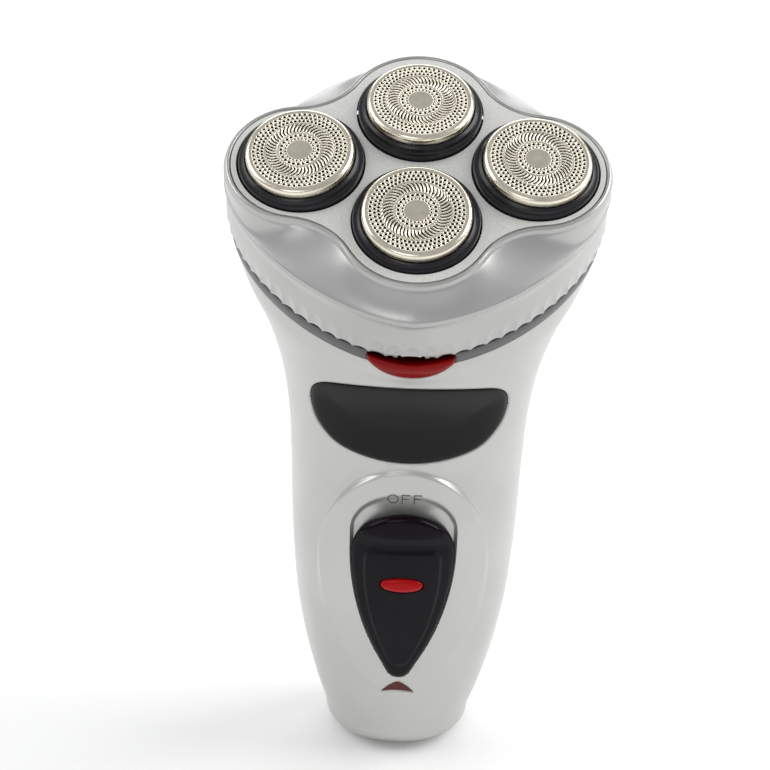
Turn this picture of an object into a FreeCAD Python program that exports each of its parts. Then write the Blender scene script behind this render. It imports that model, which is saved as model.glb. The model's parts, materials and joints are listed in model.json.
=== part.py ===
import FreeCAD, Part
import Sketcher
import math
import os
import re

# Rotary electric shaver. Millimetres, +Z up along the handle, the cutters' side leans to -Y.
# The origin is the centre of the flat base. The head has its own frame: u to the right,
# v back along the face, w out of the face, with w = 0 at the steel caps.

Vector = FreeCAD.Vector
Rotation = FreeCAD.Rotation
Placement = FreeCAD.Placement
AXIS_X = Vector(1, 0, 0)
AXIS_Y = Vector(0, 1, 0)
AXIS_Z = Vector(0, 0, 1)

DIMENSIONS = {
    "wall": 2.0,
    "base_thickness": 2.4,
    "split_depth": 1.0,
    "head_tilt": 28.0,
    "head_height": 151.5,
    "head_forward": 6.0,
    "side_reach": 25.0,
    "front_reach": 15.0,
    "unit_tilt": 3.5,
    "side_lobe": 14.7,
    "tip_lobe": 15.5,
    "lobe_join": 16.0,
    "cap_radius": 11.5,
    "cap_wall": 0.35,
    "bezel_radius": 13.3,
    "pivot_depth": 6.4,
    "gear_module": 0.625,
    "pinion_teeth": 16,
    "idler_teeth": 16,
    "spindle_teeth": 32,
    "gear_low": -24.6,
    "gear_high": -22.6,
    "axle_radius": 0.75,
    "running_gap": 0.05,
    "shaft_radius": 1.0,
    "neck_low": -26.0,
    "neck_high": -22.5,
    "skirt_low": -22.0,
    "hinge_back": 37.2,
    "hinge_down": -22.2,
    "knuckle_radius": 1.9,
    "hinge_radius": 0.9,
    "motor_width": 20.4,
    "motor_depth": 15.1,
    "cell_radius": 7.1,
    "cell_length": 48.0,
    "switch_travel": 5.0,
    "pin_radius": 1.2,
    "pin_spacing": 8.6,
}

# Rings of the handle's skin, from the base to the top of the neck: height and depth of the
# ring's centre, its tilt, half-width, reach to the front, reach to the back, roundness.
RINGS = [
    (0.0, 0.0, 0.0, 12.5, 10.5, 10.0, 2.2),
    (1.6, 0.0, 0.0, 15.2, 13.2, 12.6, 2.2),
    (8.0, 0.0, 0.0, 17.8, 15.4, 14.6, 2.2),
    (20.0, 0.0, 0.0, 21.3, 17.8, 17.0, 2.2),
    (36.0, 0.0, 0.0, 24.4, 19.4, 18.4, 2.2),
    (56.0, 0.0, 0.0, 26.0, 20.3, 19.0, 2.2),
    (78.0, 0.0, 0.0, 26.6, 20.2, 18.9, 2.2),
    (90.0, 0.0, 1.0, 27.3, 20.3, 19.6, 2.1),
    (102.0, 0.9, 7.0, 29.4, 23.0, 23.4, 2.0),
    (113.0, 2.6, 15.0, 33.2, 27.6, 28.0, 1.9),
    (122.0, 4.6, 23.0, 37.8, 33.0, 31.5, 1.75),
    (128.54, 6.21, 28.0, 40.4, 36.6, 33.8, 1.68),
    (131.63, 4.56, 28.0, 41.2, 37.6, 34.8, 1.68),
]
RING_FIELDS = ["height", "depth", "tilt", "width", "front", "back", "round"]
RING_POINTS = 40

# Direction of each cutter from the middle of the head, in degrees.
SIDES = {"front": -90.0, "right": 0.0, "back": 90.0, "left": 180.0}

doc = FreeCAD.newDocument("shaver")
sheet = doc.addObject("Spreadsheet::Sheet", "dims")
nodes = []


def fill_sheet():
    cells = dict(DIMENSIONS)
    for number, ring in enumerate(RINGS):
        for field, amount in zip(RING_FIELDS, ring):
            cells[f"ring_{number}_{field}"] = amount
    for row, (alias, amount) in enumerate(cells.items(), start=1):
        sheet.set(f"A{row}", alias)
        sheet.set(f"B{row}", str(amount))
        sheet.setAlias(f"B{row}", alias)
    doc.recompute()


def size(expression):
    """The value of an expression of the sheet's cells, such as "cap_radius - 0.4"."""
    return float(sheet.evalExpression(str(expression)))


def bound(expression):
    """The same expression, written as another object of the document has to write it."""
    return re.sub(r"([a-z]\w*)", r"dims.\1", str(expression))


def node(item, label):
    """Marks an object as one of the shaver's pieces."""
    item.Label = label
    nodes.append(item)
    return item


# ---------------------------------------------------------------- frames


def head_frame():
    origin = Vector(0, -size("head_forward"), size("head_height"))
    return Placement(origin, Rotation(AXIS_X, size("head_tilt")))


def reach(side):
    return size("front_reach") if side in ("front", "back") else size("side_reach")


def spindle_frame(side, turn=0.0):
    """On the axis of one spindle, upright in the head's frame."""
    angle = math.radians(SIDES[side])
    spot = Vector(reach(side) * math.cos(angle), reach(side) * math.sin(angle), 0)
    return head_frame() * Placement(spot, Rotation(AXIS_Z, turn))


def unit_frame(side):
    """On the axis of one cutter: x leads outward, and the axis leans outward a little."""
    lean = Placement(Vector(), Rotation(AXIS_Y, size("unit_tilt")))
    return spindle_frame(side, SIDES[side]) * lean


def lower(frame, w, x=0.0, y=0.0, rotation=None):
    return frame * Placement(Vector(x, y, w), rotation or Rotation())


# ---------------------------------------------------------------- building blocks


def cylinder(name, radius, height, frame):
    item = doc.addObject("Part::Cylinder", name)
    item.setExpression("Radius", bound(radius))
    item.setExpression("Height", bound(height))
    item.Placement = frame
    return item


def block(name, length, width, height, frame):
    """A box centred on the frame's x and y, rising along its z."""
    item = doc.addObject("Part::Box", name)
    item.setExpression("Length", bound(length))
    item.setExpression("Width", bound(width))
    item.setExpression("Height", bound(height))
    item.Placement = frame * Placement(Vector(-size(length) / 2, -size(width) / 2, 0), Rotation())
    return item


def feature(name, shape, frame=None):
    item = doc.addObject("Part::Feature", name)
    item.Shape = shape
    if frame:
        item.Placement = frame
    return item


def fuse(name, pieces):
    item = doc.addObject("Part::MultiFuse", name)
    item.Shapes = pieces
    return item


def origin_plane(body, role):
    return [plane for plane in body.Origin.OriginFeatures if plane.Role == role][0]


def outline_sketch(body, name, role, points, raised=0.0):
    """A closed outline of straight edges whose corners are bound to the sheet."""
    sketch = body.newObject("Sketcher::SketchObject", name)
    sketch.AttachmentSupport = [(origin_plane(body, role), "")]
    sketch.MapMode = "FlatFace"
    sketch.AttachmentOffset = Placement(Vector(0, 0, raised), Rotation())
    corners = [Vector(size(across), size(along), 0) for across, along in points]
    for index, corner in enumerate(corners):
        sketch.addGeometry(Part.LineSegment(corner, corners[(index + 1) % len(corners)]), False)
    for index in range(len(corners)):
        joined = Sketcher.Constraint("Coincident", index, 2, (index + 1) % len(corners), 1)
        sketch.addConstraint(joined)
    for index, corner in enumerate(corners):
        for kind, place, expression in zip(("DistanceX", "DistanceY"), corner, points[index]):
            number = sketch.addConstraint(Sketcher.Constraint(kind, -1, 1, index, 1, place))
            sketch.setExpression(f"Constraints[{number}]", bound(expression))
    return sketch


def revolved(name, profile, frame):
    """A body turned about its own z from a profile of (radius, height) corners."""
    body = doc.addObject("PartDesign::Body", name)
    sketch = outline_sketch(body, name + "_profile", "XZ_Plane", profile)
    turned = body.newObject("PartDesign::Revolution", name + "_turned")
    turned.Profile = sketch
    turned.ReferenceAxis = (sketch, ["V_Axis"])
    turned.Angle = 360
    body.Placement = frame
    doc.recompute()
    return body


def pattern(body, name, source, count):
    ring = body.newObject("PartDesign::PolarPattern", name)
    ring.Originals = [source]
    ring.Axis = (origin_plane(body, "Z_Axis"), [""])
    ring.Angle = 360
    ring.setExpression("Occurrences", bound(count))
    body.Tip = ring
    doc.recompute()


def ring_of_gaps(body, name, outline, count):
    """Cuts a straight-edged gap through the body, repeated around its axis."""
    before = body.Shape.Volume
    gap = body.newObject("PartDesign::Pocket", name)
    gap.Profile = outline_sketch(body, name + "_outline", "XY_Plane", outline)
    gap.Type = 1
    gap.Midplane = True
    doc.recompute()
    if body.Shape.Volume >= before:
        raise RuntimeError(f"{name} cut nothing")
    pattern(body, name + "_ring", gap, count)


def raised_pad(body, name, outline, low, height):
    pad = body.newObject("PartDesign::Pad", name)
    pad.Profile = outline_sketch(body, name + "_outline", "XY_Plane", outline, size(low))
    pad.setExpression("Length", bound(height))
    doc.recompute()
    return pad


def coil(name, radius, wire, length, turns, frame):
    """A compression spring along the frame's z."""
    path = Part.makeLongHelix(length / turns, length, radius)
    section = Part.Wire([Part.makeCircle(wire, Vector(radius, 0, 0), AXIS_Y)])
    return feature(name, Part.Wire(path.Edges).makePipeShell([section], True, True), frame)


# ---------------------------------------------------------------- skins of the handle and head


def power_curve(angle, width, front, back, roundness):
    """A point of a rounded lozenge: roundness 2 is an ellipse, less is closer to a diamond."""
    across = math.cos(angle)
    along = math.sin(angle)
    depth = back if along > 0 else front
    return Vector(
        width * math.copysign(abs(across) ** (2 / roundness), across),
        depth * math.copysign(abs(along) ** (2 / roundness), along),
        0,
    )


def closed_curve(points):
    curve = Part.BSplineCurve()
    curve.interpolate(points, PeriodicFlag=True)
    return Part.Wire([curve.toShape()])


def angles(count):
    return [2 * math.pi * step / count for step in range(count)]


def ring_wire(number, grow, height=None, lift=0.0):
    height_now, depth, tilt, width, front, back, roundness = [
        size(f"ring_{number}_{field}") for field in RING_FIELDS
    ]
    frame = Placement(Vector(0, depth, height or height_now), Rotation(AXIS_X, tilt))
    frame = lower(frame, lift)
    sizes = (width + grow, front + grow, back + grow, roundness)
    return closed_curve([frame.multVec(power_curve(a, *sizes)) for a in angles(RING_POINTS)])


def skin(grow):
    """The handle and neck as one solid, grown outward by an amount."""
    wires = [ring_wire(number, grow) for number in range(len(RINGS))]
    return Part.makeLoft(wires, True, False)


def hollow():
    """The space inside the shells: open at the top, closed by the base."""
    inset = -size("wall")
    wires = [ring_wire(1, inset, size("base_thickness"))]
    wires += [ring_wire(number, inset) for number in range(2, len(RINGS))]
    wires.append(ring_wire(len(RINGS) - 1, inset, lift=2.0))
    return Part.makeLoft(wires, True, False)


def head_wire(sizes, w):
    points = [power_curve(a, *sizes) + Vector(0, 0, w) for a in angles(RING_POINTS)]
    return closed_curve(points)


def lobe_geometry():
    """Centres and tangent angles of the arcs of the four-lobed face, in its first quarter."""
    side, tip, join = size("side_lobe"), size("tip_lobe"), size("lobe_join")
    side_centre = Vector(size("side_reach"), 0, 0)
    tip_centre = Vector(0, size("front_reach"), 0)
    span = tip_centre - side_centre
    along = (span.Length**2 + (side + join) ** 2 - (tip + join) ** 2) / (2 * span.Length)
    off = math.sqrt((side + join) ** 2 - along**2)
    direction = span.normalize()
    join_centre = side_centre + direction * along + Vector(direction.y, -direction.x, 0) * off
    side_touch = side_centre + (join_centre - side_centre) * (side / (side + join))
    tip_touch = tip_centre + (join_centre - tip_centre) * (tip / (tip + join))
    return side_centre, tip_centre, join_centre, side_touch, tip_touch


def lobe_radius(angle, grow):
    """Distance from the head's middle to the four-lobed outline, grown by an amount."""
    side_centre, tip_centre, join_centre, side_touch, tip_touch = lobe_geometry()
    angle = math.atan2(abs(math.sin(angle)), abs(math.cos(angle)))
    if angle < math.atan2(side_touch.y, side_touch.x):
        centre, radius, sign = side_centre, size("side_lobe") + grow, 1
    elif angle > math.atan2(tip_touch.y, tip_touch.x):
        centre, radius, sign = tip_centre, size("tip_lobe") + grow, 1
    else:
        centre, radius, sign = join_centre, size("lobe_join") - grow, -1
    turn = angle - math.atan2(centre.y, centre.x)
    nearest = centre.Length * math.sin(turn)
    return centre.Length * math.cos(turn) + sign * math.sqrt(radius**2 - nearest**2)


def blend_wire(grow, sizes, share, w, count=72):
    """An outline between the lobed face, at share 0, and the round rim, at share 1."""
    points = []
    for angle in angles(count):
        lobe = lobe_radius(angle, grow)
        width, front, back, front_round, back_round = sizes
        behind = math.sin(angle) > 0
        depth, roundness = (back, back_round) if behind else (front, front_round)
        total = abs(math.cos(angle) / width) ** roundness
        total += abs(math.sin(angle) / depth) ** roundness
        radius = lobe * (1 - share) + share * total ** (-1 / roundness)
        points.append(Vector(radius * math.cos(angle), radius * math.sin(angle), w))
    return closed_curve(points)


# ---------------------------------------------------------------- outlines on the front


def front_prism(edges, near, far):
    """Pushes an outline in the x-z plane from y = near to y = far."""
    face = Part.Face(Part.Wire(Part.__sortEdges__(edges)))
    face.translate(Vector(0, near, 0))
    return face.extrude(Vector(0, far - near, 0))


def arc(first, middle, last):
    spots = [Vector(x, 0, z) for x, z in (first, middle, last)]
    return Part.Arc(*spots).toShape()


def line(first, last):
    return Part.makeLine(Vector(first[0], 0, first[1]), Vector(last[0], 0, last[1]))


def teardrop(grow=0.0, stretch=0.0):
    """The switch's outline: a round top, bowed sides and a small round tip."""
    wide, waist, tip = 11.6 + grow, 8.7 + grow, 2.7 + grow
    shoulder, middle, point = 62.0, 42.0, 28.0
    top, bottom = 72.0 + grow, 25.4 - grow
    edges = [
        arc((-wide, shoulder + stretch), (0, top + stretch), (wide, shoulder + stretch)),
        arc((wide, shoulder), (waist, middle), (tip, point)),
        arc((tip, point), (0, bottom), (-tip, point)),
        arc((-tip, point), (-waist, middle), (-wide, shoulder)),
    ]
    if stretch:
        edges.append(line((wide, shoulder), (wide, shoulder + stretch)))
        edges.append(line((-wide, shoulder), (-wide, shoulder + stretch)))
    return edges


def island_outline():
    """The raised egg around the switch."""
    wide, middle, top, bottom = 21.6, 56.0, 82.6, 20.0
    return [
        arc((-wide, middle), (0, top), (wide, middle)),
        arc((wide, middle), (14.6, 33.0), (0, bottom)),
        arc((0, bottom), (-14.6, 33.0), (-wide, middle)),
    ]


def panel_outline(grow=0.0):
    """The half-moon: a bowed top edge, round corners and a deep round belly."""
    wide, corner, belly = 21.8 + grow, 17.4, 15.1 + grow * 0.7
    side, top, low = 96.5, 103.2 + grow, 84.5 - grow
    return [
        arc((-corner, top), (0, top + 2.0), (corner, top)),
        arc((corner, top), (20.8 + grow, 101.0), (wide, side)),
        arc((wide, side), (19.7 + grow * 0.8, 90.8), (belly, 87.0)),
        arc((belly, 87.0), (0, low), (-belly, 87.0)),
        arc((-belly, 87.0), (-19.7 - grow * 0.8, 90.8), (-wide, side)),
        arc((-wide, side), (-20.8 - grow, 101.0), (-corner, top)),
    ]


def button_outline(grow=0.0):
    """The release button: a lens whose top follows the neck's upper edge."""
    corner, rise, low, top = 9.2 + grow, 113.2, 108.8 - grow, 114.6
    return [
        arc((-corner, rise), (0, low), (corner, rise)),
        line((corner, rise), (corner, top)),
        line((corner, top), (-corner, top)),
        line((-corner, top), (-corner, rise)),
    ]


def lens_outline(grow=0.0):
    """The charge lens: a small triangle with bowed edges."""
    corner, low, top = 3.9 + grow, 20.0 - grow, 23.8 + grow
    return [
        arc((-corner, low), (0, low + 0.7), (corner, low)),
        arc((corner, low), (2.3 + grow, 22.4), (0.5, top)),
        arc((0.5, top), (0, top + 0.1), (-0.5, top)),
        arc((-0.5, top), (-2.3 - grow, 22.4), (-corner, low)),
    ]


def oval_outline(grow=0.0):
    """The lock button on the switch."""
    half, rise, middle = 5.2 + grow, 2.0 + grow, 52.5
    return [
        arc((-half, middle), (0, middle + rise), (half, middle)),
        arc((half, middle), (0, middle - rise), (-half, middle)),
    ]


def pad_outline():
    """The raised grip on the switch."""
    return [
        line((-6.5, 62.5), (6.5, 62.5)),
        arc((6.5, 62.5), (8.0, 61.9), (8.6, 60.5)),
        arc((8.6, 60.5), (6.9, 44.0), (2.2, 31.0)),
        arc((2.2, 31.0), (0, 29.6), (-2.2, 31.0)),
        arc((-2.2, 31.0), (-6.9, 44.0), (-8.6, 60.5)),
        arc((-8.6, 60.5), (-8.0, 61.9), (-6.5, 62.5)),
    ]


def stadium(length, width, low, high):
    """A slot-shaped plug standing upright."""
    half, radius = (length - width) / 2, width / 2
    corners = [Vector(x, y, low) for x, y in ((-half, -radius), (half, -radius))]
    far = [Vector(x, y, low) for x, y in ((half, radius), (-half, radius))]
    edges = [
        Part.makeLine(corners[0], corners[1]),
        Part.Arc(corners[1], Vector(half + radius, 0, low), far[0]).toShape(),
        Part.makeLine(far[0], far[1]),
        Part.Arc(far[1], Vector(-half - radius, 0, low), corners[0]).toShape(),
    ]
    return Part.Face(Part.Wire(edges)).extrude(Vector(0, 0, high - low))


# ---------------------------------------------------------------- the handle

SCREW_HEIGHTS = (25.0, 89.0)
SOCKET_LENGTH, SOCKET_WIDTH = 18.6, 10.8
FAR = 200.0


def half_space(side_of_split):
    """A large block in front of the shells' split, or behind it."""
    depth = size("split_depth")
    low = -FAR / 2 if side_of_split == "front" else depth
    high = depth if side_of_split == "front" else FAR / 2
    return Part.makeBox(FAR, high - low, FAR, Vector(-FAR / 2, low, -1))


def above_neck():
    """Everything above the plane where the neck ring starts."""
    slab = Part.makeBox(FAR, FAR, FAR, Vector(-FAR / 2, -FAR / 2, size("neck_low")))
    slab.Placement = head_frame()
    return slab


def along_y(x, z, radius, start, end):
    return Part.makeCylinder(radius, end - start, Vector(x, start, z), AXIS_Y)


def make_shells(outer, inner):
    top = above_neck()
    socket_hole = stadium(SOCKET_LENGTH + 0.1, SOCKET_WIDTH + 0.1, -1, 12)
    shallow, flush = skin(-0.8), skin(-1.3)
    raised = front_prism(island_outline(), -30, -5).common(skin(1.0)).cut(flush)
    front = outer.cut(inner).common(half_space("front")).fuse(raised).cut(top)
    front = front.cut(front_prism(teardrop(0.3, size("switch_travel") + 0.6), -30, -5).cut(shallow))
    front = front.cut(front_prism(panel_outline(0.1), -30, -5).cut(flush))
    front = front.cut(front_prism(lens_outline(0.05), -30, -5))
    front = front.cut(front_prism(button_outline(0.25), -40, -15))
    front = front.cut(Part.makeBox(3.8, 10, 9.6, Vector(-1.9, -24, 57.4)))
    front = front.cut(socket_hole)
    node(feature("FrontShell", front), "front_shell")

    rear = outer.cut(inner)
    for z in SCREW_HEIGHTS:
        rear = rear.fuse(along_y(0, z, 3.4, 1.2, FAR).common(outer))
    rear = rear.common(half_space("rear")).cut(top).cut(socket_hole)
    for z, back in zip(SCREW_HEIGHTS, (14.6, 16.6)):
        rear = rear.cut(along_y(0, z, 1.3, 0, FAR)).cut(along_y(0, z, 2.7, back, FAR))
    node(feature("RearShell", rear), "rear_shell")
    screws = []
    for z, back in zip(SCREW_HEIGHTS, (14.6, 16.6)):
        head = along_y(0, z, 2.4, back, back + 1.6).cut(
            Part.makeBox(3.4, 1, 0.7, Vector(-1.7, back + 0.9, z - 0.35))
        )
        screws.append(head.fuse(along_y(0, z, 1.1, -4.0, back)))
    node(feature("Screws", Part.makeCompound(screws)), "shell_screws")


def make_neck_ring(inner):
    low, high = len(RINGS) - 2, len(RINGS) - 1
    inset = -size("wall")
    ring = Part.makeLoft([ring_wire(low, 0.0), ring_wire(high, 0.0)], True, True)
    room = Part.makeLoft([ring_wire(low, inset, lift=-0.5), ring_wire(high, inset, lift=0.5)], True, True)
    ring = ring.cut(room).cut(front_prism(button_outline(0.25), -40, -15))
    back, down = size("hinge_back"), size("hinge_down")
    frame = head_frame()
    ears = []
    for side in (-1, 1):
        spot = Vector(side * 8.6 - 1.5, back, down)
        ear = Part.makeCylinder(size("knuckle_radius"), 3.0, spot, AXIS_X)
        foot = Part.makeBox(3.0, 5.4, 3.6, Vector(side * 8.6 - 1.5, back - 3.5, down - 3.6))
        ears.append(ear.fuse(foot))
    bore = Part.makeCylinder(size("hinge_radius") + 0.02, 24, Vector(-12, back, down), AXIS_X)
    for ear in ears:
        ear = ear.cut(bore)
        ear.Placement = frame
        ring = ring.fuse(ear.cut(inner).cut(room))
    node(feature("NeckRing", ring.removeSplitter()), "neck_ring")
    pin = cylinder("HingePin", "hinge_radius", 19.6, frame)
    pin.Placement = lower(frame, down, -9.8, back, Rotation(AXIS_Y, 90))
    node(pin, "hinge_pin")


def make_front_trim(outer):
    panel = front_prism(panel_outline(), -30, -5).common(skin(0.1)).cut(skin(-1.2))
    node(feature("Panel", panel), "thumb_panel")
    lens = front_prism(lens_outline(), -30, -15.9).common(outer)
    node(feature("Lens", lens), "charge_lens")


def make_switch():
    body = front_prism(teardrop(), -30, -5).common(skin(1.3)).cut(skin(-0.3))
    grip = front_prism(pad_outline(), -30, -5).common(skin(2.4)).cut(skin(1.0))
    stem = Part.makeBox(3.0, 4.6, 3.0, Vector(-1.5, -20.4, 57.8))
    foot = Part.makeBox(8.0, 1.0, 6.0, Vector(-4.0, -17.0, 56.3))
    dome = Part.makeSphere(13.6, Vector(0, -9.6, 65.0)).common(front_prism(teardrop(-0.4), -30, -5))
    dome = dome.cut(skin(1.0))
    slider = body.fuse(grip).fuse(dome).fuse(stem).fuse(foot)
    slider = slider.cut(front_prism(oval_outline(0.15), -30, -20.6))
    node(feature("Slider", slider), "switch_slider")
    lock = front_prism(oval_outline(), -23.4, -21.5)
    node(feature("LockButton", lock), "lock_button")


def make_release_button():
    face = front_prism(button_outline(), -40, -23.0).common(skin(0.7))
    trim = Part.makeBox(FAR, FAR, 20, Vector(-FAR / 2, -FAR / 2, size("neck_high") - 0.1))
    trim.Placement = head_frame()
    post = Part.makeBox(5.0, 1.4, 10.2, Vector(-2.5, -23.2, 110.4))
    nose = Part.makeBox(5.0, 1.7, 1.2, Vector(-2.5, -23.3, 119.4))
    back = Part.makeCylinder(1.2, 1.6, Vector(0, -23.2, 111.2), AXIS_Y)
    button = face.cut(trim).fuse(post).fuse(nose).fuse(back)
    node(feature("ReleaseButton", button), "release_button")
    frame = Placement(Vector(0, -21.55, 111.2), Rotation(AXIS_X, -90))
    node(coil("ReleaseSpring", 1.7, 0.2, 4.1, 5, frame), "release_spring")


# ---------------------------------------------------------------- inside the handle


def make_inlet():
    block_solid = stadium(SOCKET_LENGTH, SOCKET_WIDTH, 0.4, 13.0)
    block_solid = block_solid.cut(stadium(16.4, 8.6, 0, 10.6))
    pins = []
    for side in (-1, 1):
        middle = side * size("pin_spacing") / 2
        tail = round_solid(0.9, 10.6, 15.0, middle)
        block_solid = block_solid.cut(tail)
        pins.append(round_solid(size("pin_radius"), 2.6, 10.6, middle).fuse(tail))
    node(feature("Inlet", block_solid), "inlet_socket")
    node(feature("InletPins", Part.makeCompound(pins)), "inlet_pins")


def make_chassis():
    parts = [
        Part.makeBox(28, 1.6, 72, Vector(-14, -4.6, 22)),
        Part.makeBox(28, 15, 1.6, Vector(-14, -3.0, 29.0)),
        Part.makeBox(28, 15, 1.6, Vector(-14, -3.0, 81.4)),
    ]
    for side in (-1, 1):
        parts.append(Part.makeBox(2, 5, 30, Vector(side * 13 - 1, -4.6, 92)))
        parts.append(Part.makeBox(2, 14, 4, Vector(side * 9 - 1, -17.2, 110)))
        parts.append(Part.makeBox(6, 2, 4, Vector(side * 11 - 3, -4.6, 110)))
        for z in (30, 84):
            parts.append(along_y(side * 10, z, 1.6, -8.2, -4.0))
    parts.append(Part.makeBox(20, 1.6, 4, Vector(-10, -17.2, 110)))
    for z in SCREW_HEIGHTS:
        parts.append(along_y(0, z, 2.6, -4.6, 0.8))
    frame = parts[0].multiFuse(parts[1:])
    for z in SCREW_HEIGHTS:
        frame = frame.cut(along_y(0, z, 1.1, -10, 10))
    node(feature("Chassis", frame.removeSplitter()), "chassis")


def make_power():
    cell_low, across, deep = 31.6, 7.4, 5.2
    for side, name in ((-1, "left"), (1, "right")):
        frame = Placement(Vector(side * across, deep, cell_low), Rotation())
        can = cylinder(f"Cell{name}", "cell_radius", "cell_length", frame)
        cap_frame = lower(frame, size("cell_length"))
        cap = cylinder(f"CellCap{name}", 2.6, 0.9, cap_frame)
        node(fuse(f"Battery{name}", [can, cap]), f"battery_cell_{name}")
    strap = block("TabStrap", 24, 5, 0.3, Placement(Vector(0, deep, 80.8), Rotation()))
    feet = []
    for side in (-1, 1):
        spot = Placement(Vector(side * across, deep, 31.0), Rotation())
        feet.append(block(f"TabFoot{side + 1}", 6, 5, 0.3, spot))
    node(fuse("Tabs", [strap] + feet), "battery_tabs")


def make_electronics():
    board = block("Board", 24, 1.2, 66, Placement(Vector(0, -8.8, 22), Rotation()))
    holder = Placement(Vector(0, -11.6, 54.5), Rotation())
    switch = block("SwitchBlock", 9, 4.2, 13, holder)
    node(switch, "switch_block")
    stack = Placement(Vector(0, -9.4, 24.0), Rotation(AXIS_X, 90))
    node(cylinder("Light", 1.5, 5.2, stack), "charge_light")
    chips = []
    for x, z, wide, tall in ((-6, 38, 5, 5), (5, 42, 4, 8), (-5, 74, 6, 4), (6, 78, 3, 5)):
        spot = Placement(Vector(x, -10.0, z), Rotation())
        chips.append(block(f"Chip{z}", wide, 1.2, tall, spot))
    node(fuse("CircuitBoard", [board] + chips), "circuit_board")


# ---------------------------------------------------------------- motor and gears


def motor_outline(grow):
    """A can with two flats, as a wire in its own plane."""
    radius = size("motor_width") / 2 + grow
    flat = size("motor_depth") / 2 + grow
    reach_flat = math.sqrt(radius**2 - flat**2)
    left, right = -reach_flat, reach_flat
    return Part.Wire([
        Part.makeLine(Vector(left, -flat, 0), Vector(right, -flat, 0)),
        Part.Arc(Vector(right, -flat, 0), Vector(radius, 0, 0), Vector(right, flat, 0)).toShape(),
        Part.makeLine(Vector(right, flat, 0), Vector(left, flat, 0)),
        Part.Arc(Vector(left, flat, 0), Vector(-radius, 0, 0), Vector(left, -flat, 0)).toShape(),
    ])


def motor_solid(grow, low, high):
    solid = Part.Face(motor_outline(grow)).extrude(Vector(0, 0, high - low))
    solid.translate(Vector(0, 0, low))
    return solid


def round_solid(radius, low, high, x=0.0, y=0.0):
    return Part.makeCylinder(radius, high - low, Vector(x, y, low), AXIS_Z)


def make_motor():
    frame = head_frame()
    low, high, cap_low = -47.6, -26.7, -49.4
    can = motor_solid(0, low, high).cut(motor_solid(-0.8, low - 1, high - 1.0))
    bore = size("shaft_radius") + size("running_gap")
    can = can.fuse(round_solid(3.0, high - 0.5, high + 1.2)).cut(round_solid(bore, high - 3, high + 3))
    node(feature("MotorCan", can.removeSplitter(), frame), "motor_can")
    cap = motor_solid(0, cap_low, low).cut(round_solid(bore, cap_low - 1, low + 1))
    for side in (-1, 1):
        cap = cap.fuse(Part.makeBox(2.0, 0.5, 3.0, Vector(side * 6 - 1, -3, cap_low - 3.0)))
    node(feature("MotorCap", cap, frame), "motor_end_cap")
    magnets = round_solid(9.3, low + 2, high - 2.5).cut(round_solid(5.9, low, high))
    magnets = magnets.common(Part.makeBox(30, 10, 60, Vector(-15, -5, -60)))
    node(feature("Magnets", magnets, frame), "motor_magnets")
    shaft = cylinder("Shaft", "shaft_radius", 26.8, lower(frame, -49.2))
    node(shaft, "motor_shaft")
    core = round_solid(5.4, low + 3, high - 4).cut(round_solid(size("shaft_radius"), low, high))
    for turn in range(3):
        slot = Part.makeBox(5, 1.6, 60, Vector(3.2, -0.8, -60))
        slot.rotate(Vector(), AXIS_Z, 120 * turn)
        core = core.cut(slot)
    node(feature("Core", core, frame), "motor_armature")


GEAR_ADDENDUM = 0.45
GEAR_DEDENDUM = 0.62
GEAR_BACKLASH = 0.14
FLANK_SLOPE = 0.36


def gear(name, teeth, profile, frame):
    """A turned blank with straight-flanked gaps, the first one on its own x axis."""
    body = revolved(name, profile, frame)
    pitch = f"{teeth} * gear_module / 2"
    middle = size("gear_module") * math.pi / 4 + GEAR_BACKLASH / 2
    outer_half = middle + FLANK_SLOPE * (GEAR_ADDENDUM + 0.3)
    inner_half = middle - FLANK_SLOPE * GEAR_DEDENDUM
    root = f"{pitch} - {GEAR_DEDENDUM}"
    rim = f"{pitch} + {GEAR_ADDENDUM} + 0.3"
    outline = [
        (root, f"-{inner_half}"),
        (rim, f"-{outer_half}"),
        (rim, f"{outer_half}"),
        (root, f"{inner_half}"),
    ]
    ring_of_gaps(body, name + "Gap", outline, teeth)
    return body


def make_gears():
    low, high = "gear_low", "gear_high"
    tip = f"{{}} * gear_module / 2 + {GEAR_ADDENDUM}"
    bore = "axle_radius + running_gap"
    pinion_tip = tip.format("pinion_teeth")
    pinion = [("shaft_radius", low), (pinion_tip, low), (pinion_tip, high), ("shaft_radius", high)]
    node(gear("Pinion", "pinion_teeth", pinion, head_frame()), "motor_pinion")

    idler_tip = tip.format("idler_teeth")
    idler = [(bore, low), (idler_tip, low), (idler_tip, high), (bore, high)]
    idler_reach = size("(pinion_teeth + idler_teeth) * gear_module / 2")
    half_tooth = 180.0 / size("idler_teeth")
    for side, sign in (("left", -1), ("right", 1)):
        turned = Rotation(AXIS_Z, half_tooth)
        frame = lower(head_frame(), 0, sign * idler_reach, 0, turned)
        node(gear(f"Idler{side}", "idler_teeth", idler, frame), f"idler_gear_{side}")

    spindle_tip = tip.format("spindle_teeth")
    spindle = [(bore, low), (spindle_tip, low), (spindle_tip, high), (1.9, high), (1.9, -12.6)]
    spindle.append((bore, -12.6))
    half_tooth = 180.0 / size("spindle_teeth")
    for side in SIDES:
        turn = half_tooth if side in ("front", "back") else 0.0
        body = gear(f"Spindle{side}", "spindle_teeth", spindle, spindle_frame(side, turn))
        node(body, f"spindle_gear_{side}")


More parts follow.
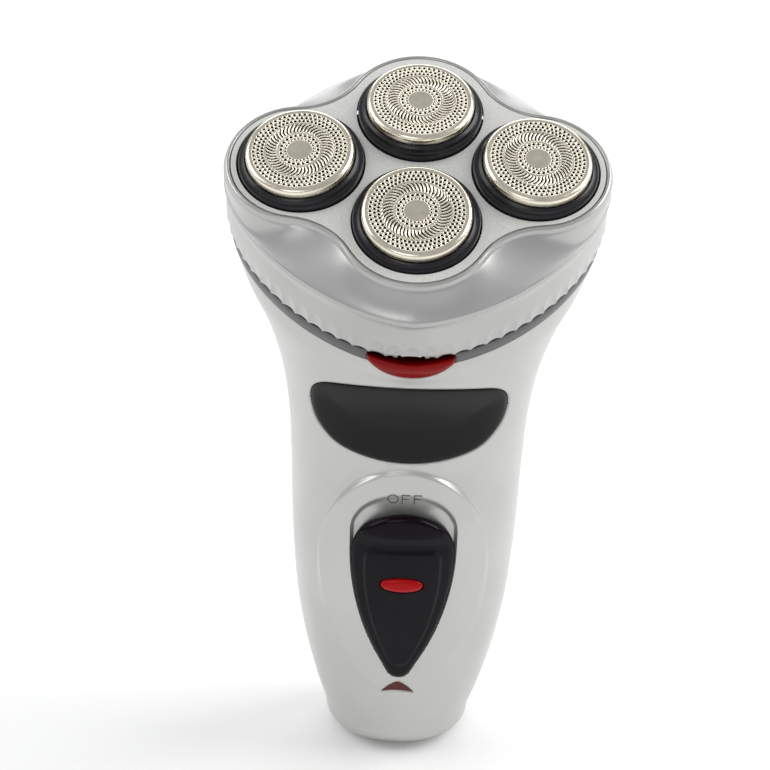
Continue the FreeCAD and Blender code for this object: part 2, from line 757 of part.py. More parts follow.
def make_spindle_heads():
    profile = [(1.95, -16.5), (2.6, -16.5), (2.6, -9.4), (1.5, -8.4), (1.5, -6.9), (0, -6.9)]
    profile += [(0, -9.5), (1.95, -9.5)]
    for side in SIDES:
        frame = spindle_frame(side)
        cap = revolved(f"SpindleCap{side}", profile, frame)
        wings = block(f"Wings{side}", 6.4, 1.2, 1.8, lower(frame, -7.2))
        node(fuse(f"SpindleHead{side}", [cap, wings]), f"spindle_head_{side}")
        spring = coil(f"SpindleSpring{side}", 1.3, 0.2, 2.5, 3, lower(frame, -12.3))
        node(spring, f"spindle_spring_{side}")


def make_gear_box():
    frame = head_frame()
    deck = (36.9, 26.8, 30.6, 1.75)
    floor, top = -25.2, -20.2
    rim = Part.makeLoft([head_wire(deck, floor), head_wire(deck, top)], True, True)
    room = tuple(amount - 1.0 for amount in deck[:3]) + (1.75,)
    pocket = Part.makeLoft([head_wire(room, floor - 1), head_wire(room, top - 1.2)], True, True)
    cover = rim.cut(pocket)
    wide = (36.5, 33.9, 31.3, 1.75)
    plate = Part.makeLoft([head_wire(wide, -26.4), head_wire(wide, floor)], True, True)
    plate = plate.cut(round_solid(3.1, -28, -24))
    plate = plate.cut(Part.makeBox(6.4, 10, 4, Vector(-3.2, -39.4, -28)))
    plate = plate.cut(Part.makeBox(21.0, 10, 4, Vector(-10.5, -41.0, -28)))
    axles = []
    spots = [(spindle_frame(side).Base, -13.0) for side in SIDES]
    idler_reach = size("(pinion_teeth + idler_teeth) * gear_module / 2")
    for sign in (-1, 1):
        spots.append((lower(frame, 0, sign * idler_reach).Base, -21.6))
    for base, high in spots:
        local = frame.inverse().multVec(base)
        axle = round_solid(size("axle_radius"), -26.4, high, local.x, local.y)
        plate = plate.cut(axle)
        axles.append(axle)
        if high > top:
            cover = cover.cut(round_solid(2.3, -22, -19, local.x, local.y))
    node(feature("GearCover", cover, frame), "gear_cover")
    node(feature("GearPlate", plate, frame), "gear_plate")
    node(feature("Axles", Part.makeCompound(axles), frame), "gear_axles")
    seal_sizes = (37.9, 27.6, 31.6, 1.75)
    seal = Part.makeLoft([head_wire(seal_sizes, -22.4), head_wire(seal_sizes, -21.7)], True, True)
    node(feature("Seal", seal.cut(rim), frame), "deck_seal")


# ---------------------------------------------------------------- the head

# Half-width, reach to the front and back, roundness at the front and at the back.
BEAD = (41.4, 36.8, 35.9, 1.62, 1.45)
SKIRT = (41.3, 37.3, 35.6, 1.65, 1.7)


def shrink(sizes, amount):
    return tuple(value - amount for value in sizes[:3]) + sizes[3:]


def make_head_frame(plate_blocks):
    outer = Part.makeLoft([
        blend_wire(0.3, BEAD, 0.0, -4.0),
        blend_wire(1.1, BEAD, 0.0, -4.9),
        blend_wire(1.6, BEAD, 0.42, -7.2),
        blend_wire(1.6, BEAD, 0.88, -9.6),
        blend_wire(1.6, BEAD, 1.0, -10.5),
        blend_wire(1.6, shrink(BEAD, 0.4), 1.0, -12.0),
        blend_wire(1.6, SKIRT, 1.0, size("skirt_low")),
    ], True, True)
    inner = Part.makeLoft([
        blend_wire(-1.2, BEAD, 0.0, -5.2),
        blend_wire(0.0, shrink(BEAD, 1.6), 0.42, -7.6),
        blend_wire(0.0, shrink(BEAD, 1.6), 1.0, -10.6),
        blend_wire(0.0, shrink(SKIRT, 1.5), 1.0, size("skirt_low") - 0.5),
    ], True, True)
    seat = Part.makeLoft([blend_wire(0.0, BEAD, 0.0, -5.65), blend_wire(0.0, BEAD, 0.0, -3)], True, True)
    frame = outer.cut(inner).cut(seat)
    back, down = size("hinge_back"), size("hinge_down")
    for side in (-1, 1):
        frame = frame.cut(Part.makeBox(3.8, 12, 12, Vector(side * 8.6 - 1.9, 30, -31.8)))
    knuckle = Part.makeCylinder(size("knuckle_radius"), 13.0, Vector(-6.5, back, down), AXIS_X)
    web = Part.makeBox(13.0, back - 33.8, 3.2, Vector(-6.5, 33.8, down))
    bore = size("hinge_radius") + size("running_gap")
    pin_hole = Part.makeCylinder(bore, 20, Vector(-10, back, down), AXIS_X)
    catch = Part.makeBox(7.0, 6.0, 1.0, Vector(-3.5, -37.0, -21.0))
    frame = frame.fuse(knuckle).fuse(web).fuse(catch.common(outer)).cut(pin_hole)
    for saddle in plate_blocks:
        frame = frame.cut(saddle)
    node(feature("HeadFrame", frame, head_frame()), "head_frame")


def local_unit(side):
    """The cutter's frame, seen from the head's own frame."""
    return head_frame().inverse() * unit_frame(side)


def saddles():
    """Small blocks under the face plate that hold the bezels' trunnions."""
    blocks = []
    for side in SIDES:
        for sign in (-1, 1):
            middle = 14.15
            piece = Part.makeBox(3.0, 0.8, 2.4, Vector(-1.5, sign * middle - 0.4, -7.6))
            hole = Part.makeCylinder(
                0.7 + size("running_gap"), 3, Vector(0, sign * middle - 1.5, -size("pivot_depth")), AXIS_Y
            )
            piece = piece.cut(hole)
            piece.Placement = local_unit(side)
            blocks.append(piece)
    return blocks


def make_face_plate(blocks):
    plate = Part.makeLoft(
        [blend_wire(-0.15, BEAD, 0.0, -5.6), blend_wire(-0.15, BEAD, 0.0, -4.0)], True, True
    )
    for piece in blocks:
        plate = plate.fuse(piece)
    for side in SIDES:
        hole = round_solid(size("bezel_radius") + 0.35, -12, 4)
        hole.Placement = local_unit(side)
        plate = plate.cut(hole)
    node(feature("FacePlate", plate, head_frame()), "face_plate")


def make_retainer():
    frame = head_frame()
    low, high = -11.6, -10.4
    plate = Part.makeLoft([blend_wire(-2.4, BEAD, 0.0, low), blend_wire(-2.4, BEAD, 0.0, high)], True, True)
    for side in (-1, 1):
        plate = plate.fuse(Part.makeBox(3.2, 4.4, high - low, Vector(side * 37.4 - 1.6, -2.2, low)))
    for side in SIDES:
        hole = round_solid(6.6, -20, 0)
        hole.Placement = local_unit(side)
        plate = plate.cut(hole)
    plate = plate.cut(round_solid(1.55, low - 1, high + 1))
    node(feature("Retainer", plate, frame), "cutter_retainer")
    profile = [(0, -9.8), (2.4, -9.8), (2.4, -10.3), (1.5, -10.3), (1.5, -11.7), (4.2, -11.7)]
    profile += [(4.2, -13.4), (0, -13.4)]
    hub = revolved("KnobHub", profile, frame)
    grip = block("KnobGrip", 8.0, 1.8, 2.4, lower(frame, -15.6))
    node(fuse("Knob", [hub, grip]), "retainer_knob")


def make_cutter_units():
    ring = [
        (11.62, -2.0), (12.4, -2.45), (12.55, -2.95), (13.1, -3.05), ("bezel_radius", -3.5),
        ("bezel_radius", -7.4), (12.5, -7.4), (12.5, -3.6), (11.62, -3.6),
    ]
    inside = "cap_radius - cap_wall"
    cap = [
        (0, 0), ("cap_radius - 0.6", 0), ("cap_radius", -0.6), ("cap_radius", -3.75),
        (12.2, -3.75), (12.2, -4.15), (inside, -4.15), (inside, -0.7),
        (inside + " - 0.35", "-cap_wall"), (0, "-cap_wall"),
    ]
    hub = [(4.2, -6.6), (5.4, -6.6), (5.4, -3.0), (9.8, -3.0), (9.8, -2.4), (0, -2.4), (0, -3.0), (4.2, -3.0)]
    for side in SIDES:
        frame = unit_frame(side)
        bezel = revolved(f"Ring{side}", ring, frame)
        stubs = []
        for sign in (-1, 1):
            turn = Rotation(AXIS_X, -90)
            spot = lower(frame, -size("pivot_depth"), 0, sign * 13.65 - 0.65, turn)
            stubs.append(cylinder(f"Stub{side}{sign + 1}", 0.7, 1.3, spot))
        node(fuse(f"Bezel{side}", [bezel] + stubs), f"bezel_{side}")

        guard = revolved(f"Guard{side}", cap, frame)
        slot = [(4.8, -0.22), (7.2, -0.22), (7.2, 0.22), (4.8, 0.22)]
        ring_of_gaps(guard, f"GuardSlot{side}", slot, 36)
        node(guard, f"guard_{side}")

        upright = frame * Placement(Vector(), Rotation(AXIS_Z, -SIDES[side]))
        cutter = revolved(f"Cutter{side}", hub, upright)
        lug = [(-0.45, 2.4), (0.45, 2.4), (0.45, 4.4), (-0.45, 4.4)]
        pattern(cutter, f"Lugs{side}", raised_pad(cutter, f"Lug{side}", lug, -6.4, 3.6), 2)
        blade = [(5.2, -0.25), (9.6, -0.25), (9.6, 0.25), (5.2, 0.25)]
        pattern(cutter, f"Blades{side}", raised_pad(cutter, f"Blade{side}", blade, -2.5, 2.05), 15)
        node(cutter, f"cutter_{side}")


# ---------------------------------------------------------------- the whole shaver


def check():
    doc.recompute()
    for item in doc.Objects:
        if "Invalid" in item.State or "Error" in item.State:
            raise RuntimeError(f"{item.Name} failed: {item.State}")
    labels = [item.Label for item in nodes]
    if len(set(labels)) != len(labels):
        raise RuntimeError("two pieces have one name")
    for item in nodes:
        if item.Shape.isNull() or not item.Shape.isValid() or not item.Shape.Solids:
            raise RuntimeError(f"{item.Label} has no valid solid")


def export():
    os.makedirs("parts", exist_ok=True)
    for item in nodes:
        item.Shape.exportStep(f"parts/{item.Label}.step")
        print(f"{item.Label}: {len(item.Shape.Solids)} solid(s), {item.Shape.Volume:.1f} mm3")
    print(len(nodes), "pieces")


def make_shaver():
    fill_sheet()
    outer, inner = skin(0.0), hollow()
    make_shells(outer, inner)
    make_neck_ring(inner)
    make_front_trim(outer)
    make_switch()
    make_release_button()
    make_inlet()
    make_chassis()
    make_power()
    make_electronics()
    make_motor()
    make_gears()
    make_spindle_heads()
    make_gear_box()
    blocks = saddles()
    make_face_plate(blocks)
    make_head_frame(blocks)
    make_retainer()
    make_cutter_units()
    check()
    export()


make_shaver()
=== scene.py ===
import json
import math

import bpy
import numpy as np
from mathutils import Matrix, Vector


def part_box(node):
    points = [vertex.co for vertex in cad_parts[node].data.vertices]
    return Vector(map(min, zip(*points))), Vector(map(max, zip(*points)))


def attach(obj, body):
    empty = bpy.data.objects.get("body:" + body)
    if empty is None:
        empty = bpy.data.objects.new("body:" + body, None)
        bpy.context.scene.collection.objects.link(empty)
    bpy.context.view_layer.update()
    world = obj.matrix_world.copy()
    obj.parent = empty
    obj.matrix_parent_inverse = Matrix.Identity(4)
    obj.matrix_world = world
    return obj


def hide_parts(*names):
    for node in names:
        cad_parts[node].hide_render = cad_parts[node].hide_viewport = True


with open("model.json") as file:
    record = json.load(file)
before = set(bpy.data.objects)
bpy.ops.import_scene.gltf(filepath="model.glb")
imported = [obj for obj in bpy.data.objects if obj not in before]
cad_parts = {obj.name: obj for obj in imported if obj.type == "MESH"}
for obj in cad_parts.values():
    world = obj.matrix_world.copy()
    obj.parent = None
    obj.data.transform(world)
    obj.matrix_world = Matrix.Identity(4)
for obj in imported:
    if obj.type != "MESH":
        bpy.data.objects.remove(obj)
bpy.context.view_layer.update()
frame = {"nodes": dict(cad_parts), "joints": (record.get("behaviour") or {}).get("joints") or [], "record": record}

# Shapes are written in millimetres and turned into metres when a mesh is made.
MM = 0.001
JOINTS = {joint["name"]: joint for joint in frame["joints"]}
SIDES = {"front": -90.0, "right": 0.0, "back": 90.0, "left": 180.0}

# ------------------------------ frames


def millimetres(position):
    return np.array(position, float) / MM


def unit(vector):
    vector = np.array(vector, float)
    return vector / np.linalg.norm(vector)


class Frame:
    """An origin in millimetres with three axes: takes local points to the row frame."""

    def __init__(self, origin, x_axis, z_axis):
        z = unit(z_axis)
        y = unit(np.cross(z, x_axis))
        self.origin = np.array(origin, float)
        self.axes = np.array([np.cross(y, z), y, z])

    def place(self, points):
        return self.origin + np.asarray(points, float) @ self.axes

    def part(self, points, faces):
        return self.place(points), faces


MOTOR = JOINTS["motor_spin"]
HEAD = Frame(millimetres(MOTOR["pos_m"]), (1, 0, 0), MOTOR["axis"])
UNITS = {}
for _side in SIDES:
    _spin, _tilt = JOINTS[f"cutter_{_side}_spin"], JOINTS[f"bezel_{_side}_tilt"]
    _outward = np.cross(unit(_tilt["axis"]), unit(_spin["axis"]))
    UNITS[_side] = Frame(millimetres(_spin["pos_m"]), _outward, _spin["axis"])
REACH = {side: np.linalg.norm(UNITS[side].origin - HEAD.origin) for side in SIDES}

# ------------------------------ materials


def link_noise(tree, scale, detail=3.0, stretch=(1.0, 1.0, 1.0)):
    """Noise in the object's own coordinates; scale is grains per metre."""
    place = tree.nodes.new("ShaderNodeTexCoord")
    mapping = tree.nodes.new("ShaderNodeMapping")
    mapping.inputs["Scale"].default_value = stretch
    noise = tree.nodes.new("ShaderNodeTexNoise")
    noise.inputs["Scale"].default_value = scale
    noise.inputs["Detail"].default_value = detail
    tree.links.new(place.outputs["Object"], mapping.inputs["Vector"])
    tree.links.new(mapping.outputs["Vector"], noise.inputs["Vector"])
    return noise.outputs["Fac"]


def link_range(tree, value, low, high):
    change = tree.nodes.new("ShaderNodeMapRange")
    for end, number in (("From Min", 0.3), ("From Max", 0.7), ("To Min", low), ("To Max", high)):
        change.inputs[end].default_value = number
    tree.links.new(value, change.inputs["Value"])
    return change.outputs["Result"]


def link_colour(tree, value, dark, light):
    ramp = tree.nodes.new("ShaderNodeValToRGB")
    for stop, position, colour in zip(ramp.color_ramp.elements, (0.35, 0.65), (dark, light)):
        stop.position = position
        stop.color = (*colour, 1.0)
    tree.links.new(value, ramp.inputs["Fac"])
    return ramp.outputs["Color"]


def finish_material(
    name, colour, metallic=0.0, rough=0.4, vary=0.06, patch=60.0, rough_vary=0.05,
    grain=9000.0, bump=0.1, coat=0.0, coat_rough=0.08, specular=0.5, stretch=(1.0, 1.0, 1.0),
    depth=0.00002, fine=None,
):
    """A moulded, painted or metal finish: colour and gloss vary a little, with a fine grain."""
    material = bpy.data.materials.new(name)
    material.use_nodes = True
    tree = material.node_tree
    shader = tree.nodes["Principled BSDF"]
    dark = tuple(channel * (1 - vary) for channel in colour)
    light = tuple(min(1.0, channel * (1 + vary)) for channel in colour)
    patches = link_noise(tree, fine or patch)
    tree.links.new(link_colour(tree, patches, dark, light), shader.inputs["Base Color"])
    wear = link_noise(tree, patch * 2.3, 4.0, stretch)
    spread = link_range(tree, wear, rough - rough_vary, rough + rough_vary)
    tree.links.new(spread, shader.inputs["Roughness"])
    relief = tree.nodes.new("ShaderNodeBump")
    relief.inputs["Strength"].default_value = bump
    relief.inputs["Distance"].default_value = depth
    tree.links.new(link_noise(tree, grain, 2.0, stretch), relief.inputs["Height"])
    tree.links.new(relief.outputs["Normal"], shader.inputs["Normal"])
    shader.inputs["Metallic"].default_value = metallic
    shader.inputs["Coat Weight"].default_value = coat
    shader.inputs["Coat Roughness"].default_value = coat_rough
    shader.inputs["Specular IOR Level"].default_value = specular
    return material


def finish(*values, **options):
    return values, options


FINISHES = {
    "silver_body": finish((0.54, 0.54, 0.52), 0.6, 0.36, 0.03, 40, 0.03, 14000, 0.22, 0.1, 0.25),
    "head_silver": finish((0.47, 0.47, 0.46), 0.65, 0.34, 0.04, 40, 0.03, 14000, 0.28, 0.1, 0.25),
    "plate_silver": finish((0.74, 0.74, 0.71), 0.3, 0.45, 0.12, 40, 0.03, 5200, 0.5, fine=4200),
    "neck_grey": finish((0.10, 0.10, 0.10), 0.25, 0.38, bump=0.15),
    "smoked_panel": finish(
        (0.005, 0.004, 0.005), 0.0, 0.2, 0.1, 50, 0.04, bump=0.02, specular=0.22
    ),
    "dark_lens": finish((0.09, 0.012, 0.010), 0.0, 0.3, bump=0.05, specular=0.3),
    "black_gloss": finish(
        (0.006, 0.005, 0.007), 0.0, 0.42, 0.1, 60, 0.04, 8000, 0.25, specular=0.12
    ),
    "black_polish": finish(
        (0.004, 0.001, 0.004), 0.0, 0.18, 0.1, 60, 0.03, bump=0.02, specular=0.12
    ),
    "red_gloss": finish((0.40, 0.002, 0.004), 0.0, 0.24, 0.05, bump=0.03, specular=0.14),
    "dark_red_gloss": finish((0.22, 0.001, 0.001), 0.0, 0.12, 0.06, bump=0.02, specular=0.12),
    "bezel_black": finish((0.012, 0.011, 0.014), 0.0, 0.3, 0.1, bump=0.05, coat=0.12, specular=0.3),
    "guard_steel": finish((0.86, 0.80, 0.66), 1.0, 0.24, 0.05, 300, 0.06, 6000, 0.12),
    "cutter_steel": finish((0.05, 0.05, 0.055), 0.7, 0.4, 0.08, 200, bump=0.2),
    "screw_steel": finish((0.50, 0.50, 0.51), 1.0, 0.3, 0.06, 200),
    "spring_steel": finish((0.60, 0.60, 0.62), 1.0, 0.25, 0.06, 200),
    "socket_black": finish((0.02, 0.02, 0.02), 0.0, 0.5, 0.1, bump=0.3),
    "contact_nickel": finish((0.72, 0.69, 0.62), 1.0, 0.22, 0.05, 200),
    "inner_plastic": finish((0.10, 0.10, 0.105), 0.0, 0.5, bump=0.3),
    "cell_wrap": finish((0.05, 0.30, 0.16), 0.1, 0.3, 0.08, coat=0.3),
    "light_body": finish((0.70, 0.16, 0.13), 0.0, 0.15, 0.05, coat=0.5),
    "board_green": finish((0.02, 0.20, 0.08), 0.0, 0.35, 0.15, 400),
    "motor_steel": finish((0.60, 0.60, 0.60), 1.0, 0.35, 0.05, 150),
    "magnet": finish((0.08, 0.08, 0.085), 0.6, 0.5, 0.1, 300),
    "gear_plastic": finish((0.82, 0.82, 0.78), 0.0, 0.42, 0.04),
    "deck_plastic": finish((0.05, 0.05, 0.054), 0.0, 0.45, bump=0.3),
    "seal_rubber": finish((0.02, 0.02, 0.02), 0.0, 0.7, 0.15, bump=0.4),
    "retainer_white": finish((0.72, 0.72, 0.70), 0.0, 0.45, 0.04),
    "knob_grey": finish((0.22, 0.22, 0.225), 0.0, 0.42, 0.06),
    "spindle_head_white": finish((0.85, 0.85, 0.82), 0.0, 0.4, 0.04),
}
MATERIALS = {
    slot: finish_material(slot, *values, **options) for slot, (values, options) in FINISHES.items()
}

# ------------------------------ mesh helpers


def grid_faces(rows, columns, close_rows=False, close_columns=False):
    """Quads between the points of a grid numbered row by row."""
    row = np.arange(rows if close_rows else rows - 1)[:, None]
    column = np.arange(columns if close_columns else columns - 1)
    below, beside = (row + 1) % rows, (column + 1) % columns
    corners = (row, column), (row, beside), (below, beside), (below, column)
    return np.stack([down * columns + along for down, along in corners], -1).reshape(-1, 4).tolist()


def add_object(name, data):
    item = bpy.data.objects.new(name, data)
    bpy.context.scene.collection.objects.link(item)
    return item


def facing(points, faces, centre):
    """Above zero if the faces look away from the centre."""
    total = 0.0
    for face in faces:
        corners = points[face]
        normal = np.cross(corners[1] - corners[0], corners[2] - corners[0])
        total += np.dot(normal, corners.mean(0) - centre)
    return total


def add_mesh(name, points, faces, body, slot, nodes=(), sharp=38.0, wall=0.0, centre=(0, 0, 0)):
    """Makes a piece from points in millimetres. wall thickens an open sheet towards its centre."""
    points = np.asarray(points, float)
    if facing(points, faces, centre) < 0:
        faces = [face[::-1] for face in faces]
    mesh = bpy.data.meshes.new(name)
    mesh.from_pydata((points * MM).tolist(), [], faces)
    mesh.polygons.foreach_set("use_smooth", np.ones(len(mesh.polygons), bool))
    mesh.set_sharp_from_angle(angle=math.radians(sharp))
    piece = add_object(name, mesh)
    mesh.materials.append(MATERIALS[slot])
    if wall:
        shell = piece.modifiers.new("wall", "SOLIDIFY")
        shell.thickness = wall * MM
        shell.offset = -1.0
        shell.use_rim = True
    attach(piece, body)
    if nodes:
        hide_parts(*nodes)
    return piece


def join_parts(parts):
    """Several (points, faces) sets as one."""
    points, faces, start = [], [], 0
    for some_points, some_faces in parts:
        points.append(np.asarray(some_points, float))
        faces += [[corner + start for corner in face] for face in some_faces]
        start += len(some_points)
    return np.vstack(points), faces


def lathe(profile, segments=128):
    """A closed profile of (radius, height) turned about z."""
    angle = turns(segments)
    radius, height = np.array(profile, float).T[..., None]
    points = np.broadcast_arrays(radius * np.cos(angle), radius * np.sin(angle), height)
    return np.stack(points, -1).reshape(-1, 3), grid_faces(len(profile), segments, True, True)


def rounded_block(low, high, edge):
    """A box with every edge bevelled."""
    low, high = np.array(low, float), np.array(high, float)
    inner_low, inner_high = low + edge, high - edge
    loops = []
    for z, shrink in ((low[2], 1), (inner_low[2], 0), (inner_high[2], 0), (high[2], 1)):
        x0, y0 = (inner_low if shrink else low)[:2]
        x1, y1 = (inner_high if shrink else high)[:2]
        cut = edge * (0.4 if shrink else 1.0)
        loops.append([
            (x0 + cut, y0, z), (x1 - cut, y0, z), (x1, y0 + cut, z), (x1, y1 - cut, z),
            (x1 - cut, y1, z), (x0 + cut, y1, z), (x0, y1 - cut, z), (x0, y0 + cut, z),
        ])
    faces = grid_faces(4, 8, False, True)
    faces.append(list(range(7, -1, -1)))
    faces.append(list(range(24, 32)))
    return np.array(loops).reshape(-1, 3), faces


def turns(count):
    """Even angles once round."""
    return np.linspace(0, 2 * math.pi, count, endpoint=False)


def smooth(value):
    value = np.clip(value, 0.0, 1.0)
    return value * value * (3 - 2 * value)


# ------------------------------ the handle's skin

# Rings from the base to the top of the neck: height and depth of the ring's centre, its
# tilt, half-width, reach to the front, reach to the back, roundness.
RINGS = np.array([
    (0.0, 0.0, 0.0, 12.5, 10.5, 10.0, 2.2),
    (1.6, 0.0, 0.0, 15.2, 13.2, 12.6, 2.2),
    (8.0, 0.0, 0.0, 17.8, 15.4, 14.6, 2.2),
    (20.0, 0.0, 0.0, 21.3, 17.8, 17.0, 2.2),
    (36.0, 0.0, 0.0, 24.4, 19.4, 18.4, 2.2),
    (56.0, 0.0, 0.0, 26.0, 20.3, 19.0, 2.2),
    (78.0, 0.0, 0.0, 26.6, 20.2, 18.9, 2.2),
    (90.0, 0.0, 1.0, 27.3, 20.3, 19.6, 2.1),
    (102.0, 0.9, 7.0, 29.4, 23.0, 23.4, 2.0),
    (113.0, 2.6, 15.0, 33.2, 27.6, 28.0, 1.9),
    (122.0, 4.6, 23.0, 37.8, 33.0, 31.5, 1.75),
    (128.54, 6.21, 28.0, 40.4, 36.6, 33.8, 1.68),
    (131.63, 4.56, 28.0, 41.2, 37.6, 34.8, 1.68),
])
NECK_LOW = RINGS[-2, 0]
# Depth of the plane where the front and the rear shell meet.
SPLIT = 1.0
RING_SLOPES = np.gradient(RINGS[:-1, 1:], RINGS[:-1, 0], axis=0)
RING_SLOPES = np.vstack([RING_SLOPES, RING_SLOPES[-1:]])


def ring_values(height):
    """The ring's numbers at any height: smooth up the handle, straight up the neck."""
    height = np.asarray(height, float)
    low = np.clip(np.searchsorted(RINGS[:, 0], height, side="right") - 1, 0, len(RINGS) - 2)
    span = (RINGS[low + 1, 0] - RINGS[low, 0])[..., None]
    share = (height[..., None] - RINGS[low, 0][..., None]) / span
    first, last = RINGS[low, 1:], RINGS[low + 1, 1:]
    rise = 3 * share**2 - 2 * share**3
    value = first * (1 - rise) + last * rise
    value = value + RING_SLOPES[low] * span * (share**3 - 2 * share**2 + share)
    value = value + RING_SLOPES[low + 1] * span * (share**3 - share**2)
    straight = first * (1 - share) + last * share
    return np.moveaxis(np.where((low == len(RINGS) - 2)[..., None], straight, value), -1, 0)


def on_ring(height, angle, grow=0.0):
    """Points of the skin at ring heights and angles."""
    height, angle = np.broadcast_arrays(np.asarray(height, float), angle)
    depth, tilt, width, front, back, power = ring_values(height)
    across, along = np.cos(angle), np.sin(angle)
    reach = np.where(along > 0, back, front) + grow
    x = (width + grow) * np.sign(across) * np.abs(across) ** (2 / power)
    y = reach * np.sign(along) * np.abs(along) ** (2 / power)
    tilt = np.radians(tilt)
    return np.stack([x, depth + y * np.cos(tilt), height + y * np.sin(tilt)], -1)


def front_depth(x, z, grow=0.0):
    """How far forward the skin is, at a place on the front."""
    x, z, grow = np.broadcast_arrays(np.asarray(x, float), z, grow)
    low, high = z - 1.0, z + 22.0
    for _ in range(34):
        middle = (low + high) / 2
        depth, tilt, width, front, _, power = ring_values(middle)
        share = np.clip(1 - (np.abs(x) / (width + grow)) ** power, 0, 1) ** (1 / power)
        reach = (front + grow) * share
        above = middle - reach * np.sin(np.radians(tilt)) > z
        high = np.where(above, middle, high)
        low = np.where(above, low, middle)
    return depth - reach * np.cos(np.radians(tilt))


def on_front(flat, grow):
    """Points of the front, from their (x, z) and how far they stand off the skin."""
    return np.stack([flat[:, 0], front_depth(flat[:, 0], flat[:, 1], grow), flat[:, 1]], -1)


def split_angle(height):
    """The ring angle where the two shells meet."""
    depth, tilt, _, front, back, power = ring_values(height)
    along = (SPLIT - depth) / np.cos(np.radians(tilt))
    ratio = np.abs(along) / np.where(along > 0, back, front)
    return np.sign(along) * np.arcsin(ratio ** (power / 2))


# ------------------------------ outlines on the front


def arc(first, middle, last, count=24):
    """Points of the arc through three points, without its last one."""
    (ax, ay), (bx, by), (cx, cy) = first, middle, last
    scale = 2 * (ax * (by - cy) + bx * (cy - ay) + cx * (ay - by))
    a2, b2, c2 = ax * ax + ay * ay, bx * bx + by * by, cx * cx + cy * cy
    ox = (a2 * (by - cy) + b2 * (cy - ay) + c2 * (ay - by)) / scale
    oy = (a2 * (cx - bx) + b2 * (ax - cx) + c2 * (bx - ax)) / scale
    start = math.atan2(ay - oy, ax - ox)
    via = (math.atan2(by - oy, bx - ox) - start) % (2 * math.pi)
    end = (math.atan2(cy - oy, cx - ox) - start) % (2 * math.pi)
    sweep = end if via < end else end - 2 * math.pi
    angle = start + sweep * np.arange(count) / count
    radius = math.hypot(ax - ox, ay - oy)
    return np.stack([ox + radius * np.cos(angle), oy + radius * np.sin(angle)], -1)


def line(first, last, count=8):
    share = np.arange(count)[:, None] / count
    return np.array(first) * (1 - share) + np.array(last) * share


def closed_outline(parts, count):
    """The parts as one loop of evenly spaced points."""
    points = np.vstack(parts + [parts[0][:1]])
    length = np.concatenate([[0], np.cumsum(np.linalg.norm(np.diff(points, axis=0), axis=1))])
    spots = np.linspace(0, length[-1], count, endpoint=False)
    return np.stack([np.interp(spots, length, points[:, axis]) for axis in (0, 1)], -1)


def eased(outline, turns):
    """Rounds the joints between an outline's parts."""
    for _ in range(turns):
        outline = (np.roll(outline, -1, 0) + 2 * outline + np.roll(outline, 1, 0)) / 4
    return outline


def teardrop(grow=0.0, stretch=0.0, count=240):
    """The switch's outline: a round top, bowed sides and a small round tip."""
    wide, waist, tip = 11.6 + grow, 8.7 + grow, 2.7 + grow
    top, bottom = 72.0 + grow, 25.4 - grow
    parts = [arc((-wide, 62.0 + stretch), (0, top + stretch), (wide, 62.0 + stretch), 60)]
    if stretch:
        parts.append(line((wide, 62.0 + stretch), (wide, 62.0)))
    parts += [
        arc((wide, 62.0), (waist, 42.0), (tip, 28.0), 60),
        arc((tip, 28.0), (0, bottom), (-tip, 28.0)),
        arc((-tip, 28.0), (-waist, 42.0), (-wide, 62.0), 60),
    ]
    if stretch:
        parts.append(line((-wide, 62.0), (-wide, 62.0 + stretch)))
    return eased(closed_outline(parts, count), 8)


def island_outline(count=240):
    """Two half ellipses, the lower one longer."""
    angle = turns(count)
    rise = np.sin(angle)
    return np.stack([19.2 * np.cos(angle), 57.0 + np.where(rise > 0, 25.4, 37.0) * rise], -1)


def panel_outline(grow=0.0, count=240):
    wide, corner, belly = 21.8 + grow, 17.4, 15.1 + grow * 0.7
    side, top, low = 96.5, 103.2 + grow, 84.5 - grow
    outline = closed_outline([
        arc((-corner, top), (0, top + 2.0), (corner, top), 50),
        arc((corner, top), (20.8 + grow, 101.0), (wide, side), 30),
        arc((wide, side), (19.7 + grow * 0.8, 90.8), (belly, 87.0), 30),
        arc((belly, 87.0), (0, low), (-belly, 87.0), 50),
        arc((-belly, 87.0), (-19.7 - grow * 0.8, 90.8), (-wide, side), 30),
        arc((-wide, side), (-20.8 - grow, 101.0), (-corner, top), 30),
    ], count)
    return eased(outline, 14)


def button_outline(grow=0.0, crown=113.45, count=160):
    """The release button: a lens whose top follows the neck's upper edge."""
    corner, rise, low, top = 9.2 + grow, 113.2, 108.8 - grow, 114.55
    return closed_outline([
        arc((-corner, rise), (0, low), (corner, rise), 60),
        line((corner, rise), (corner, top)),
        arc((corner, top), (0, crown), (-corner, top), 60),
        line((-corner, top), (-corner, rise)),
    ], count)


def lens_outline(grow=0.0, count=100):
    corner, low, top = 3.9 + grow, 20.0 - grow, 23.8 + grow
    return closed_outline([
        arc((-corner, low), (0, low + 0.7), (corner, low)),
        arc((corner, low), (2.3 + grow, 22.4), (0.5, top)),
        arc((0.5, top), (0, top + 0.1), (-0.5, top), 8),
        arc((-0.5, top), (-2.3 - grow, 22.4), (-corner, low)),
    ], count)


def oval_outline(grow=0.0, count=100):
    """A slightly squared oval."""
    angle = turns(count)
    across, along = (np.sign(part) * np.abs(part) ** 0.92 for part in (np.cos(angle), np.sin(angle)))
    return np.stack([(4.85 + grow) * across, LOCK_HEIGHT + (1.9 + grow) * along], -1)


